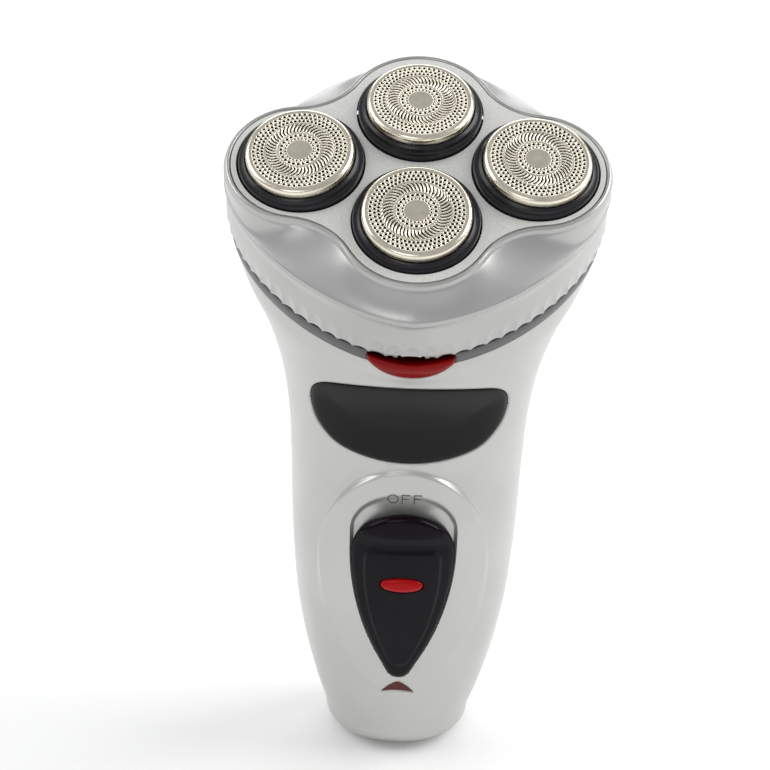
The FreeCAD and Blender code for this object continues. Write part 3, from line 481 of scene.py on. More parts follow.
def pad_outline(count=200):
    return closed_outline([
        line((-6.5, 62.5), (6.5, 62.5)),
        arc((6.5, 62.5), (8.0, 61.9), (8.6, 60.5), 12),
        arc((8.6, 60.5), (6.9, 44.0), (2.2, 31.0), 50),
        arc((2.2, 31.0), (0, 29.6), (-2.2, 31.0), 16),
        arc((-2.2, 31.0), (-6.9, 44.0), (-8.6, 60.5), 50),
        arc((-8.6, 60.5), (-8.0, 61.9), (-6.5, 62.5), 12),
    ], count)


def nearest_on(outline, points):
    """The outline's nearest point to each point, and the distance, below zero inside."""
    following = np.roll(outline, -1, 0)
    edge = following - outline
    length = (edge**2).sum(-1)
    nearest, distance = [], []
    for some in np.array_split(points, max(1, len(points) // 4000)):
        offset = some[:, None] - outline[None]
        share = np.clip((offset * edge).sum(-1) / length, 0, 1)
        gap = offset - share[..., None] * edge
        squared = (gap**2).sum(-1)
        best = squared.argmin(1)
        row = np.arange(len(some))
        nearest.append(some - gap[row, best])
        crosses = (outline[:, 1] > some[:, None, 1]) != (following[:, 1] > some[:, None, 1])
        rise = np.where(edge[:, 1] == 0, 1e-9, edge[:, 1])
        meets = edge[:, 0] * (some[:, None, 1] - outline[:, 1]) / rise + outline[:, 0]
        inside = (crosses & (some[:, None, 0] < meets)).sum(1) % 2 == 1
        distance.append(np.where(inside, -1, 1) * np.sqrt(squared[row, best]))
    return np.vstack(nearest), np.concatenate(distance)


def field(outline, points, margin=4.0):
    """Signed distance to an outline, worked out only near it."""
    low, high = outline.min(0) - margin, outline.max(0) + margin
    near = ((points > low) & (points < high)).all(1)
    nearest, distance = points.copy(), np.full(len(points), margin)
    nearest[near], distance[near] = nearest_on(outline, points[near])
    return nearest, distance


# ------------------------------ the two shells

SOCKET_HALF, SOCKET_RADIUS = 3.9, 5.45
CASING_WALL = 1.5
SEAM_DEPTH = 0.14
SCREW_HEIGHTS, SCREW_HOLE = (25.0, 89.0), 2.7
# The scoop round the switch: how far it stands off the switch, and how far it runs past its top.
SCOOP_GROW, SCOOP_STRETCH = 0.3, 5.6
# Height of the lock key's middle, and from where the slide is polished.
LOCK_HEIGHT, POLISH_HEIGHT = 53.9, 66.8


def socket_edge(angle):
    """The slot-shaped hole in the base, by direction."""
    across, along = np.cos(angle), np.abs(np.sin(angle))
    straight = SOCKET_RADIUS / np.maximum(along, 1e-9)
    round_end = SOCKET_HALF * np.abs(across)
    round_end = round_end + np.sqrt(np.maximum(SOCKET_RADIUS**2 - (SOCKET_HALF * along) ** 2, 0))
    radius = np.where(np.abs(across) * straight <= SOCKET_HALF, straight, round_end)
    return np.stack([radius * across, radius * np.sin(angle)], -1)


def shell_grid(front, heights, columns):
    """The grid of one shell's skin, from the socket's edge over the base and up to the neck."""
    share = np.linspace(0, 1, columns)
    start = split_angle(heights)[:, None]
    sweep = math.pi + 2 * start if front else math.pi - 2 * start
    angle = start - sweep * share if front else start + sweep * share
    skin = on_ring(np.repeat(heights[:, None], columns, 1), angle)
    rim = skin[0, :, :2]
    hole = socket_edge(np.arctan2(rim[:, 1], rim[:, 0]))
    base = []
    for part in (0.0, 0.35, 0.7):
        flat = hole * (1 - part) + rim * part
        base.append(np.hstack([flat, np.zeros((columns, 1))]))
    return np.concatenate([np.array(base), skin])


def grid_normals(grid):
    """Directions off the skin at the grid's points, away from the handle's middle."""
    normal = np.cross(np.gradient(grid, axis=0), np.gradient(grid, axis=1))
    normal /= np.maximum(np.linalg.norm(normal, axis=-1, keepdims=True), 1e-9)
    away = (grid - [0, 2.0, 0]) * [1, 1, 0]
    return -normal if (normal * away).sum() < 0 else normal


def snap(points, normals, outline, reach, level=0.0):
    """Slides nearby points along the skin onto an outline, or to a level beside it, so that
    its edge is clean."""
    flat = points[:, [0, 2]]
    nearest, distance = field(outline, flat)
    pick = np.abs(distance - level) < reach
    gap = flat - nearest
    away = gap / np.where(np.abs(distance) < 1e-6, 1e-6, distance)[:, None]
    move = np.where(pick[:, None], level * away - gap, 0.0)
    lift = normals[:, 0] * move[:, 0] + normals[:, 2] * move[:, 1]
    points[:, 0] += move[:, 0]
    points[:, 2] += move[:, 1]
    points[:, 1] -= lift / np.where(np.abs(normals[:, 1]) < 0.05, -0.05, normals[:, 1])


def open_hole(faces, distance, edge):
    """Leaves out what lies inside an outline; a face with one corner inside keeps the rest."""
    kept = []
    for face in faces:
        if min(distance[face]) > edge:
            kept.append(face)
            continue
        rest = [corner for corner in face if distance[corner] > -edge]
        if len(rest) >= 3 and max(distance[rest]) > edge:
            kept.append(rest)
    return kept


def front_lift(flat):
    """How far the front stands off the skin: the grip island with a shallow valley beside its
    top, and the scoop round the switch, which rises to the island above the switch."""
    across, z = np.abs(flat[:, 0]), flat[:, 1]
    island = field(island_outline(), flat, 8.0)[1]
    width = 0.9 + 2.4 * smooth((62 - z) / 30)
    rise = (0.35 + 0.3 * smooth((z - 34) / 32)) * smooth(0.5 - island / width)
    clear = smooth(field(panel_outline(), flat, 6.0)[1] / 5.0) * smooth((across - 3) / 9.0)
    valley = smooth((z - 50) / 26) * clear * smooth(0.5 + island / width)
    valley *= -0.95 * smooth(1 - np.abs(island - 0.6) / 7.0)
    scoop = -0.8 + (rise + 0.8) * smooth((z - 71.5) / 7.0)
    wall = 0.38 + 1.8 * smooth((z - 67.0) / 9.0)
    inside = smooth(-field(teardrop(SCOOP_GROW, SCOOP_STRETCH), flat)[1] / wall)
    return (rise + valley) * (1 - inside) + scoop * inside


BASE_HEIGHTS = [0, 0.12, 0.35, 0.7, 1.1, 1.6, 2.2, 3.0, 4.0, 5.2, 6.6, 8.2]


def add_shell(name, node, points, normals, lift, columns, holes, edge, centre):
    """Lifts a shell off the skin, sinks its seams, opens its holes and makes its mesh."""
    rows = len(points) // columns
    share = np.tile(np.linspace(0, 1, columns), rows)
    lift -= SEAM_DEPTH * (np.minimum(share, 1 - share) < 0.5 / columns)
    lift[points[:, 2] < 0.02] = 0.0
    faces = grid_faces(rows, columns)
    for outline in holes:
        faces = open_hole(faces, field(outline, points[:, [0, 2]])[1], edge)
    points = points + normals * lift[:, None]
    add_mesh(name, points, faces, "housing", "silver_body", [node], 50, CASING_WALL, centre)


def make_front_shell():
    fine = np.arange(17.5, 90, 0.36), np.arange(90, NECK_LOW, 0.5)
    heights = np.concatenate([BASE_HEIGHTS, [10, 12, 14, 16], *fine, [NECK_LOW]])
    columns = 230
    grid = shell_grid(True, heights, columns)
    points, normals = grid.reshape(-1, 3), grid_normals(grid).reshape(-1, 3)
    switch = teardrop(SCOOP_GROW, SCOOP_STRETCH)
    gaps = [panel_outline(0.12), lens_outline(0.06), button_outline(0.25, 118.0)]
    snap(points, normals, switch, 0.19)
    snap(points, normals, switch, 0.17, -0.38)
    for outline in gaps:
        snap(points, normals, outline, 0.24)
    lift = front_lift(points[:, [0, 2]])
    add_shell(
        "front_casing", "front_shell", points, normals, lift, columns, gaps, 0.04, (0, 4, 70)
    )


def make_rear_shell():
    heights = np.concatenate([BASE_HEIGHTS, np.arange(9.5, NECK_LOW, 0.75), [NECK_LOW]])
    columns = 120
    grid = shell_grid(False, heights, columns)
    points, normals = grid.reshape(-1, 3), grid_normals(grid).reshape(-1, 3)
    circle = SCREW_HOLE * np.stack([np.cos(turns(60)), np.sin(turns(60))], -1)
    holes = [circle + [0, height] for height in SCREW_HEIGHTS]
    for outline in holes:
        snap(points, normals, outline, 0.4)
    lift = np.zeros(len(points))
    add_shell(
        "rear_casing", "rear_shell", points, normals, lift, columns, holes, 0.08, (0, -4, 70)
    )


def tube(outer, inner, length, edge=0.2, segments=48):
    """A short tube about z with eased ends."""
    half = length / 2
    return lathe([
        (inner, -half), (outer - edge, -half), (outer, -half + edge), (outer, half - edge),
        (outer - edge, half), (inner, half),
    ], segments)


HINGE = JOINTS["head_hinge"]
HINGE_FRAME = Frame(millimetres(HINGE["pos_m"]), MOTOR["axis"], (1, 0, 0))
HINGE_SPOT = (millimetres(HINGE["pos_m"]) - HEAD.origin) @ HEAD.axes.T


def hinge_tube(middle, length):
    points, faces = tube(1.9, 0.95, length)
    return HINGE_FRAME.place(points + [0, 0, middle]), faces


def make_neck():
    """The dark ring between handle and head, open at the front for the release button."""
    heights = np.array([0.0, 0.1, 0.3, 0.9, 1.6, 2.3, 2.75, 2.98, 3.09]) + NECK_LOW
    sunk = np.array([-0.35, -0.1, 0.0, -0.08, -0.25, -0.5, -0.75, -0.95, -1.2])
    _, _, width, _, _, power = ring_values(heights)
    start = np.arccos((9.45 / width) ** (power / 2))[:, None]
    angle = -start + (math.pi + 2 * start) * np.linspace(0, 1, 420)
    grid = on_ring(np.repeat(heights[:, None], 420, 1), angle, sunk[:, None])
    faces = grid_faces(*grid.shape[:2])
    add_mesh(
        "neck_band", grid.reshape(-1, 3), faces, "housing", "neck_grey", ["neck_ring"], 40, 1.8,
        (0, 4, 122),
    )
    parts = []
    v, w = HINGE_SPOT[1:]
    for side in (-1, 1):
        parts.append(hinge_tube(side * 8.6, 3.0))
        low = (side * 8.6 - 1.5, v - 3.4, w - 3.5)
        parts.append(HEAD.part(*rounded_block(low, (side * 8.6 + 1.5, v + 1.85, w), 0.25)))
    add_mesh("hinge_ears", *join_parts(parts), "housing", "neck_grey")


# ------------------------------ pieces on the front


# The loops of a plate's underside, as shares of its outline.
UNDER_SHARES = (1.0, 0.6)


def plate_piece(outline, centre, grow_at, bottom, loops=40):
    """A closed plate on the skin: grow_at gives its height above the skin from the points and
    their distance to the edge, and bottom is the height of its underside."""
    centre = np.array(centre, float)
    shares = np.linspace(0, 1, loops + 1)[1:]
    flat = np.vstack([centre, *(centre + (outline - centre) * share for share in shares)])
    edge = nearest_on(outline, flat)[1]
    edge[-len(outline):] = 0.0
    points = [on_front(flat, grow_at(flat, edge))]
    for share in (*UNDER_SHARES, 0.0):
        some = centre + (outline - centre) * share if share else centre[None]
        points.append(on_front(some, bottom(some) if callable(bottom) else bottom))
    points = np.vstack(points)
    size = len(outline)
    faces = [[0, 1 + (k + 1) % size, 1 + k] for k in range(size)]
    rows = loops + len(UNDER_SHARES)
    faces += [[corner + 1 for corner in face][::-1] for face in grid_faces(rows, size, False, True)]
    last, final = 1 + (rows - 1) * size, len(points) - 1
    faces += [[final, last + k, last + (k + 1) % size] for k in range(size)]
    return points, faces


def rounding(edge, width, drop):
    """How far an edge of that width is rounded down."""
    inside = np.clip(1 + edge / width, 0, 1)
    return -drop * (1 - np.sqrt(np.maximum(1 - inside**2, 0)))


def make_panel():
    def level(flat, edge):
        dish = smooth(-edge / 9.0)
        return 0.02 - 0.95 * dish + rounding(edge, 0.8, 0.45)

    piece = plate_piece(panel_outline(), (0, 95.0), level, -1.4, 36)
    add_mesh("smoked_window", *piece, "housing", "smoked_panel", ["thumb_panel"], 60)


def make_lens():
    def level(flat, edge):
        return -0.02 + rounding(edge, 0.4, 0.2)

    piece = plate_piece(lens_outline(), (0, 21.4), level, -1.6, 14)
    add_mesh("charge_window", *piece, "housing", "dark_lens", ["charge_lens"], 60)


def slider_level(flat, edge):
    """The slide's height above the skin: a steep dome at its top and a raised pad below."""
    z = flat[:, 1]
    dome = np.sqrt(np.clip(1 - ((z - 67.2) / 6.2).clip(0, 1) ** 2, 0, 1))
    fall = 1 - 0.62 * smooth((67.2 - z) / 4.2) - 0.38 * smooth((60 - z) / 26)
    side = 1 - (flat[:, 0] / 13.0) ** 2
    height = 1.1 + 2.0 * np.where(z > 67.2, dome, fall) * side
    pad = nearest_on(pad_outline(), flat)[1]
    fade = 0.35 + 0.65 * smooth((z - 30) / 22)
    height += 0.75 * fade * smooth(0.5 - pad / 0.8)
    well = nearest_on(oval_outline(0.15), flat)[1]
    height -= 1.2 * smooth(0.5 - (well + 0.1) / 0.4)
    return height + rounding(edge, 1.0, 0.7)


def make_off_mark():
    """The shallow letters above the slide, in strokes of one width."""
    half, low, high = 0.11, 74.0, 76.8
    top, bottom = high - half, low + half
    angle = turns(32)
    rise = (top - bottom) / 2
    round_letter = np.stack([-2.7 + 1.15 * np.cos(angle), bottom + rise + rise * np.sin(angle)], -1)
    strokes = list(zip(round_letter, np.roll(round_letter, -1, 0)))
    for left in (-0.65, 2.05):
        strokes.append(((left, bottom - half), (left, top)))
        strokes.append(((left, top), (left + 1.7, top)))
        strokes.append(((left, bottom + rise), (left + 1.4, bottom + rise)))
    parts = []
    for first, last in strokes:
        first, last = np.array(first), np.array(last)
        along = unit(last - first) * half * 0.6
        across = np.array([-along[1], along[0]]) / 0.6
        flat = np.array([first - along - across, last + along - across, last + along + across,
                         first - along + across])
        layers = [on_front(flat, front_lift(flat) + raised) for raised in (-0.15, 0.09)]
        faces = grid_faces(2, 4, False, True) + [[3, 2, 1, 0], [4, 5, 6, 7]]
        parts.append((np.vstack(layers), faces))
    add_mesh("off_mark", *join_parts(parts), "housing", "neck_grey")


def make_slider():
    def underside(flat):
        return -0.3 + 1.2 * smooth((flat[:, 1] - 67.5) / 4.0)

    points, faces = plate_piece(teardrop(), (0, 54.0), slider_level, underside, 84)
    stem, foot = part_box("switch_slider"), 57.8
    back = stem[1].y / MM
    parts = [
        (points, faces),
        rounded_block((-1.5, -20.4, foot), (1.5, back - 0.5, foot + 3.0), 0.15),
        rounded_block((-4.0, back - 1.0, foot - 1.5), (4.0, back, foot + 4.5), 0.2),
    ]
    piece = add_mesh(
        "power_slide", *join_parts(parts), "switch_slider", "black_gloss", ["switch_slider"], 50
    )
    piece.data.materials.append(MATERIALS["black_polish"])
    for polygon in piece.data.polygons:
        if polygon.center.z > POLISH_HEIGHT * MM:
            polygon.material_index = 1

    def lock_level(flat, edge):
        return 3.2 + rounding(edge, 1.8, 1.0)

    oval = plate_piece(oval_outline(), (0, LOCK_HEIGHT), lock_level, 1.5, 16)
    add_mesh("lock_key", *oval, "lock_button", "red_gloss", ["lock_button"], 60)


def make_release_button():
    outline = button_outline()
    points, faces = plate_piece(outline, (0, 112.1), lambda flat, edge: 0.0, -1.6, 30)
    top = points[: -2 * len(outline) - 1]
    x, z = top[:, 0], top[:, 2]
    low, high = 108.8, 114.3
    share = (z - low) / (high - low)
    bow = 1.6 * share * (1 - share) + rounding(nearest_on(outline, top[:, [0, 2]])[1], 2.0, 0.6)
    top[:, 1] = front_depth(x, low) * (1 - share) + front_depth(x, high) * share - 0.5 - bow
    low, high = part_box("release_button")
    rear = high.y / MM
    parts = [
        (points, faces),
        rounded_block((-2.5, rear - 1.7, 110.4), (2.5, rear - 0.3, 120.4), 0.2),
        rounded_block((-2.5, rear - 1.8, 119.2), (2.5, rear, high.z / MM), 0.2),
    ]
    add_mesh(
        "release_key", *join_parts(parts), "release_button", "dark_red_gloss", ["release_button"], 50
    )


# ------------------------------ the head's frame

# Half-width, reach to the front and back, roundness at the front and at the back.
BEAD = (41.4, 36.8, 35.9, 1.62, 1.45)
SKIRT = (41.3, 37.3, 35.6, 1.65, 1.7)
SIDE_LOBE, TIP_LOBE, LOBE_JOIN = 14.7, 15.5, 16.0


def lobe_radius(angle, grow):
    """Distance from the head's middle to the four-lobed outline, grown by an amount."""
    side = np.array([REACH["right"], 0.0])
    tip = np.array([0.0, REACH["back"]])
    span = np.linalg.norm(tip - side)
    along = (span**2 + (SIDE_LOBE + LOBE_JOIN) ** 2 - (TIP_LOBE + LOBE_JOIN) ** 2) / (2 * span)
    off = math.sqrt((SIDE_LOBE + LOBE_JOIN) ** 2 - along**2)
    direction = (tip - side) / span
    join = side + direction * along + np.array([direction[1], -direction[0]]) * off
    side_touch = side + (join - side) * (SIDE_LOBE / (SIDE_LOBE + LOBE_JOIN))
    tip_touch = tip + (join - tip) * (TIP_LOBE / (TIP_LOBE + LOBE_JOIN))
    angle = np.arctan2(np.abs(np.sin(angle)), np.abs(np.cos(angle)))

    def reach(centre, radius, sign):
        far = np.linalg.norm(centre)
        turn = angle - math.atan2(centre[1], centre[0])
        inside = np.maximum(radius**2 - (far * np.sin(turn)) ** 2, 0)
        return far * np.cos(turn) + sign * np.sqrt(inside)

    result = reach(join, LOBE_JOIN - grow, -1)
    result = np.where(angle < math.atan2(*side_touch[::-1]), reach(side, SIDE_LOBE + grow, 1), result)
    return np.where(angle > math.atan2(*tip_touch[::-1]), reach(tip, TIP_LOBE + grow, 1), result)


def rim_radius(angle, sizes, grow=0.0):
    width, front, back, front_power, back_power = sizes
    behind = np.sin(angle) > 0
    depth, power = np.where(behind, back, front), np.where(behind, back_power, front_power)
    total = np.abs(np.cos(angle) / (width + grow)) ** power
    total = total + np.abs(np.sin(angle) / (depth + grow)) ** power
    return total ** (-1 / power)


def soften(radius, spread):
    """Evens out a closed outline, given as distances at even angles."""
    waves = np.fft.rfft(radius)
    return np.fft.irfft(waves * np.exp(-((np.arange(len(waves)) * spread) ** 2) / 2), len(radius))


SCALLOPS = 64


def scallop_phase(angle):
    """Counts the skirt's scallops round the rim, evenly along it, from the middle of the front."""
    ring = np.linspace(-math.pi / 2, 1.5 * math.pi, 4001)
    radius = rim_radius(ring, SKIRT)
    spots = np.stack([radius * np.cos(ring), radius * np.sin(ring)], -1)
    length = np.concatenate([[0], np.cumsum(np.linalg.norm(np.diff(spots, axis=0), axis=1))])
    wrapped = (angle + math.pi / 2) % (2 * math.pi) - math.pi / 2
    return np.interp(wrapped, ring, length / length[-1]) * SCALLOPS + 0.5


def make_head_frame():
    angle = turns(768)
    rows = []

    def row(w, grow, share, shrink=0.0, sizes=BEAD):
        lobed = soften(lobe_radius(angle, grow), 0.02 + 0.22 * share)
        radius = lobed * (1 - share) + rim_radius(angle, sizes, -shrink) * share
        rows.append((radius, np.broadcast_to(np.asarray(w, float), angle.shape)))

    for w, grow in ((-4.9, 0.02), (-4.25, 0.04), (-3.98, 0.16), (-3.86, 0.4), (-3.86, 0.62),
                    (-3.98, 0.86), (-4.25, 1.05), (-4.65, 1.16), (-5.05, 1.26)):
        row(w, grow, 0.0)
    for share in (0.03, 0.08, 0.15, 0.23, 0.32, 0.42, 0.52, 0.62, 0.71, 0.79, 0.86, 0.91, 0.945):
        row(-5.05 - 4.75 * (1 - (1 - share) ** 1.4), 1.4 + 0.3 * share, share)
    for w, share, shrink in (
        (-9.92, 0.962, 0.3), (-9.72, 0.972, 0.3), (-9.66, 0.983, 0.25), (-9.76, 0.992, 0.2),
        (-10.0, 1.0, 0.14), (-10.2, 1.0, 0.2), (-10.38, 1.0, 0.2), (-10.55, 1.0, 0.06),
        (-10.75, 1.0, 0.02), (-11.0, 1.0, 0.22), (-11.6, 1.0, 0.4), (-12.6, 1.0, 0.5),
    ):
        row(w, 1.6, share, shrink)

    phase = scallop_phase(angle)
    across = np.abs(phase % 1.0 - 0.5) * 2
    front = np.sin(angle) < 0
    u_at = rim_radius(angle, SKIRT) * np.cos(angle)
    bottom = -22.15 + 0.4 * (1 - across**2)
    bottom = np.where(front & (np.abs(u_at) < 3.9), -22.2, bottom)
    bottom = np.where(front & (np.abs(u_at) < 2.9), -20.9, bottom)
    bottom = np.where(~front & (np.abs(np.abs(u_at) - 8.6) < 2.0), -19.7, bottom)
    for step in np.linspace(0.0, 1.0, 22):
        w = -13.2 - 8.8 * step
        dish = np.maximum(1 - across**2 - ((w + 22.0) / 4.2) ** 2, 0)
        inset = 0.34 * dish**0.6
        base = 0.5 * (1 - step)
        blend = rim_radius(angle, BEAD, -base) * (1 - step) + rim_radius(angle, SKIRT) * step
        curl = 0.12 * smooth((step - 0.93) / 0.07)
        level = np.where(w < -19.4, np.maximum(bottom, w), w)
        level = np.where(step == 1.0, bottom, level)
        rows.append((blend - inset - curl, np.broadcast_to(level, angle.shape)))
    for step in (1.0, 0.8, 0.45, 0.1):
        w = -13.0 - 9.0 * step
        inner = rim_radius(angle, BEAD, -2.2) * (1 - step) + rim_radius(angle, SKIRT, -1.6) * step
        level = np.maximum(w, bottom + 0.02)
        rows.append((inner, level))
    for w, grow, share, shrink in (
        (-11.2, 0.0, 1.0, 2.2), (-9.9, 0.0, 0.72, 2.0), (-8.6, 0.0, 0.42, 2.0),
        (-7.2, 0.0, 0.16, 2.0), (-6.3, -0.2, 0.0, 0.0), (-5.75, -0.5, 0.0, 0.0), (-5.68, 0.0, 0.0, 0.0),
    ):
        row(w, grow, share, shrink)
    points = [
        np.stack([radius * np.cos(angle), radius * np.sin(angle), w], -1) for radius, w in rows
    ]
    points = HEAD.place(np.array(points).reshape(-1, 3))
    faces = grid_faces(len(rows), len(angle), True, True)
    add_mesh("head_shell", points, faces, "head", "head_silver", ["head_frame"], 42)

    v, w = HINGE_SPOT[1:]
    parts = [
        hinge_tube(0.0, 13.0),
        HEAD.part(*rounded_block((-6.5, v - 3.2, w), (6.5, v, w + 3.1), 0.3)),
        HEAD.part(*rounded_block((-3.5, -36.6, -21.0), (3.5, -31.0, -20.0), 0.15)),
    ]
    add_mesh("head_knuckle", *join_parts(parts), "head", "head_silver")


# ------------------------------ bezels and guards


def make_bezels():
    profile = [
        (11.62, -2.12), (11.7, -2.02), (11.85, -2.0), (12.32, -2.3), (12.45, -2.5), (12.48, -2.85),
        (12.56, -2.98), (13.0, -3.0), (13.18, -3.08), (13.28, -3.3), (13.3, -3.6), (13.3, -7.3),
        (13.2, -7.4), (12.6, -7.4), (12.5, -7.3), (12.5, -3.62), (11.7, -3.6), (11.62, -3.5),
    ]
    for side, unit_frame in UNITS.items():
        parts = [unit_frame.part(*lathe(profile, 144))]
        for sign in (-1, 1):
            stub = Frame((0, sign * 13.65, -6.4), (1, 0, 0), (0, 1, 0))
            parts.append(unit_frame.part(*stub.part(*tube(0.7, 0.05, 1.3, 0.1, 20))))
        add_mesh(
            f"bezel_ring_{side}", *join_parts(parts), f"bezel_{side}", "bezel_black",
            [f"bezel_{side}"], 34,
        )


class Sheet:
    """Collects the faces of a flat perforated sheet, in (radius, angle) points."""

    def __init__(self):
        self.points, self.faces = [], []

    def add(self, radius, angle):
        self.points.append((radius, angle))
        return len(self.points) - 1

    def circle(self, radius, count, turn=0.0):
        return [self.add(radius, turn + 2 * math.pi * k / count) for k in range(count)]

    def zip(self, inner, outer):
        """Joins two circles whose points needn't match."""
        def by_angle(loop):
            once = sorted((self.points[k][1] % (2 * math.pi), k) for k in loop)
            return once + [(once[0][0] + 2 * math.pi, once[0][1])]

        first, second = by_angle(inner), by_angle(outer)
        i = j = 0
        while i < len(inner) or j < len(outer):
            face = [first[i][1], second[j][1]]
            if j == len(outer) or (i < len(inner) and first[i + 1][0] < second[j + 1][0]):
                i += 1
                face.append(first[i][1])
            else:
                j += 1
                face.append(second[j][1])
            self.faces.append(face)

    def hole_band(self, radii, hole, count, turn):
        """A ring of round holes: radii are the band's inner edge, middle and outer edge."""
        low, middle, high = radii
        pitch = 2 * math.pi / count
        inner = self.circle(low, 2 * count, turn)
        between = self.circle(middle, count, turn)
        outer = self.circle(high, 2 * count, turn)
        for k in range(count):
            centre = turn + (k + 0.5) * pitch
            following = (2 * k + 2) % (2 * count)
            frame_loop = [
                inner[2 * k], inner[2 * k + 1], inner[following], between[(k + 1) % count],
                outer[following], outer[2 * k + 1], outer[2 * k], between[k],
            ]
            rim = []
            for step in range(16):
                spread = 2 * math.pi * (step + 10) / 16
                across, along = hole * math.cos(spread), hole * math.sin(spread)
                rim.append(self.add(middle + along, centre + across / (middle + along)))
            for edge in range(8):
                near = [rim[(2 * edge + extra) % 16] for extra in (2, 1, 0)]
                self.faces.append([frame_loop[edge], frame_loop[(edge + 1) % 8]] + near)
        return inner, outer

    def slot_band(self, radii, reach, count, sweep):
        """A ring of slanting slots, which reach from one radius to another."""
        low, high = radii
        pitch = 2 * math.pi / count
        steps = np.linspace(*reach, 8)

        def lean(radius):
            share = (radius - low) / (high - low)
            return sweep * share * (share - 0.25)

        inner = self.circle(low, 2 * count)
        outer = self.circle(high, 2 * count, lean(high))
        walls = [[self.add(r, k * pitch + lean(r)) for r in steps] for k in range(count)]
        for k in range(count):
            middle = (k + 0.5) * pitch
            left, right = [], []
            for number, r in enumerate(steps):
                width = (0.03 * r + 0.03) * (0.5 if number in (0, len(steps) - 1) else 1.0)
                left.append(self.add(r, middle + lean(r) - width / r))
                right.append(self.add(r, middle + lean(r) + width / r))
            wall, beyond = walls[k], walls[(k + 1) % count]
            for n in range(len(steps) - 1):
                self.faces.append([wall[n], left[n], left[n + 1], wall[n + 1]])
                self.faces.append([right[n], beyond[n], beyond[n + 1], right[n + 1]])
            for loop, n, flip in ((inner, 0, False), (outer, -1, True)):
                a, b, c = loop[2 * k], loop[2 * k + 1], loop[(2 * k + 2) % (2 * count)]
                ends = [a, b, left[n], wall[n]], [b, right[n], left[n]], [b, c, beyond[n], right[n]]
                self.faces += [face[::-1] if flip else face for face in ends]
        return inner, outer


GUARD_SEGMENTS = 112


def guard_sheet(sweep):
    """The round perforated guard: plain centre, two dotted rings, slots, three dotted rings, and
    a rim that turns down. Gives its points, the flat part's faces and the rim's faces."""
    sheet = Sheet()
    middle = sheet.add(0.0, 0.0)
    centre = sheet.circle(1.4, 48)
    for k in range(48):
        sheet.faces.append([middle, centre[k], centre[(k + 1) % 48]])
    bands = [
        (centre, centre),
        sheet.hole_band((2.6, 2.98, 3.36), 0.25, 24, 0.0),
        sheet.hole_band((3.42, 3.91, 4.4), 0.35, 24, math.pi / 24),
        sheet.slot_band((4.5, 7.46), (4.74, 7.26), 46, sweep),
    ]
    for number, radii in enumerate(((7.5, 7.9, 8.3), (8.33, 8.73, 9.17), (9.2, 9.66, 10.1))):
        bands.append(sheet.hole_band(radii, 0.335, 56, (number % 2) * math.pi / 56))
    for inner, outer in zip(bands, bands[1:]):
        sheet.zip(inner[1], outer[0])
    level = [-0.07] * len(sheet.points)
    loop = bands[-1][1]
    rim = (
        (10.3, -0.05), (10.5, 0.0), (10.75, -0.04), (11.0, -0.15), (11.2, -0.31), (11.36, -0.55),
        (11.46, -0.85), (11.5, -1.25), (11.5, -3.5), (11.55, -3.7), (11.7, -3.78), (12.2, -3.8),
    )
    rim_faces = []
    for radius, height in rim:
        outer = sheet.circle(radius, GUARD_SEGMENTS)
        level += [height] * GUARD_SEGMENTS
        for k in range(GUARD_SEGMENTS):
            following = (k + 1) % GUARD_SEGMENTS
            rim_faces.append([loop[k], outer[k], outer[following], loop[following]])
        loop = outer
    radius, angle = np.array(sheet.points).T
    points = np.stack([radius * np.cos(angle), radius * np.sin(angle), level], -1)
    return points, sheet.faces, rim_faces


def consistent(points, faces):
    """Turns each face of a mostly flat sheet to look up."""
    turned = []
    for face in faces:
        x, y = points[face, :2].T
        area = x @ np.roll(y, -1) - y @ np.roll(x, -1)
        turned.append(face[::-1] if area < 0 else face)
    return turned


def make_guards():
    for side, unit_frame in UNITS.items():
        sweep = math.radians(17 if side in ("front", "back") else -17)
        points, faces, rim_faces = guard_sheet(sweep)
        faces = consistent(points, faces) + rim_faces
        add_mesh(
            f"guard_cap_{side}", unit_frame.place(points), faces, f"guard_{side}", "guard_steel",
            [f"guard_{side}"], 32, 0.22, unit_frame.place([[0, 0, -9.0]])[0],
        )


# ------------------------------ stage, camera and lights


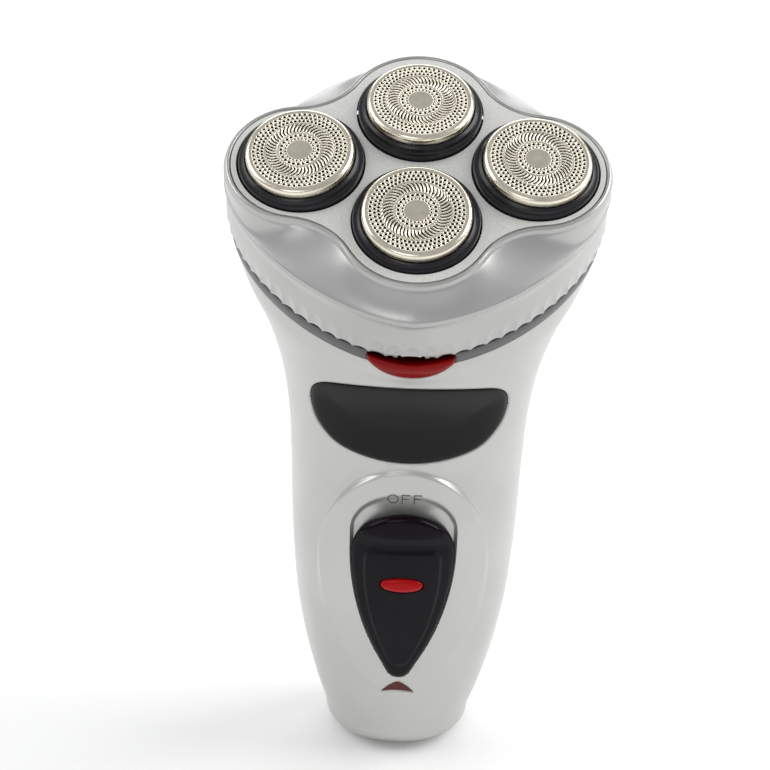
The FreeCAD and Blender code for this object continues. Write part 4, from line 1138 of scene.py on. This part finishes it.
def make_stage():
    size, level = 6.0, -0.0002
    corners = [(-size, -size), (size, -size), (size, size), (-size, size)]
    mesh = bpy.data.meshes.new("floor")
    mesh.from_pydata([(x, y, level) for x, y in corners], [], [[0, 1, 2, 3]])
    floor = add_object("floor", mesh)
    mesh.materials.append(
        finish_material("floor", (0.93, 0.93, 0.925), 0.0, 0.9, 0.005, 5, 0.02, 400, 0.02, specular=0.1)
    )


def add_light(name, position, target, size, power):
    light = bpy.data.lights.new(name, "AREA")
    light.shape = "RECTANGLE"
    light.size, light.size_y = size
    light.energy = power
    item = add_object(name, light)
    item.location = position
    direction = (Vector(position) - Vector(target)).normalized()
    item.rotation_euler = direction.to_track_quat("Z", "Y").to_euler()


def make_lights():
    world = bpy.data.worlds.new("studio")
    bpy.context.scene.world = world
    world.use_nodes = True
    background = world.node_tree.nodes["Background"]
    background.inputs["Color"].default_value = (0.97, 0.98, 1.0, 1.0)
    background.inputs["Strength"].default_value = 0.44
    add_light("left_box", (-1.1, 0.15, 0.95), (0, 0.1, 0), (1.0, 1.0), 8.5)
    add_light("right_box", (1.1, 0.25, 0.9), (0, 0.1, 0), (1.0, 1.0), 14.5)
    add_light("back_box", (0.0, 1.3, 0.9), (0, 0.2, 0), (1.6, 0.8), 9.0)
    add_light("front_box", (-0.35, -1.2, 0.75), (0, 0, 0.1), (0.6, 0.5), 2.0)
    bpy.context.scene.view_settings.view_transform = "Standard"


def make_camera():
    camera = bpy.data.cameras.new("camera")
    camera.lens, camera.sensor_width = 88.95, 36.0
    camera.clip_start = 0.01
    item = add_object("camera", camera)
    right, up, back = (
        (0.99925, 0.02468, 0.02988), (-0.03806, 0.48003, 0.87642), (0.00729, -0.8769, 0.48061),
    )
    turn = Matrix((right, up, back)).transposed().to_4x4()
    item.matrix_world = Matrix.Translation((-0.00235, -0.37752, 0.29985)) @ turn
    bpy.context.scene.camera = item


def finish_cad_nodes():
    """The CAD pieces that show as they are get their slot's finish."""
    for subpart in frame["record"]["subparts"]:
        node = frame["nodes"][subpart["node"]]
        node.data.materials.clear()
        node.data.materials.append(MATERIALS[subpart["material_slot"]])


make_camera()
make_lights()
make_stage()
finish_cad_nodes()
make_front_shell()
make_rear_shell()
make_neck()
make_panel()
make_lens()
make_off_mark()
make_slider()
make_release_button()
make_head_frame()
make_bezels()
make_guards()
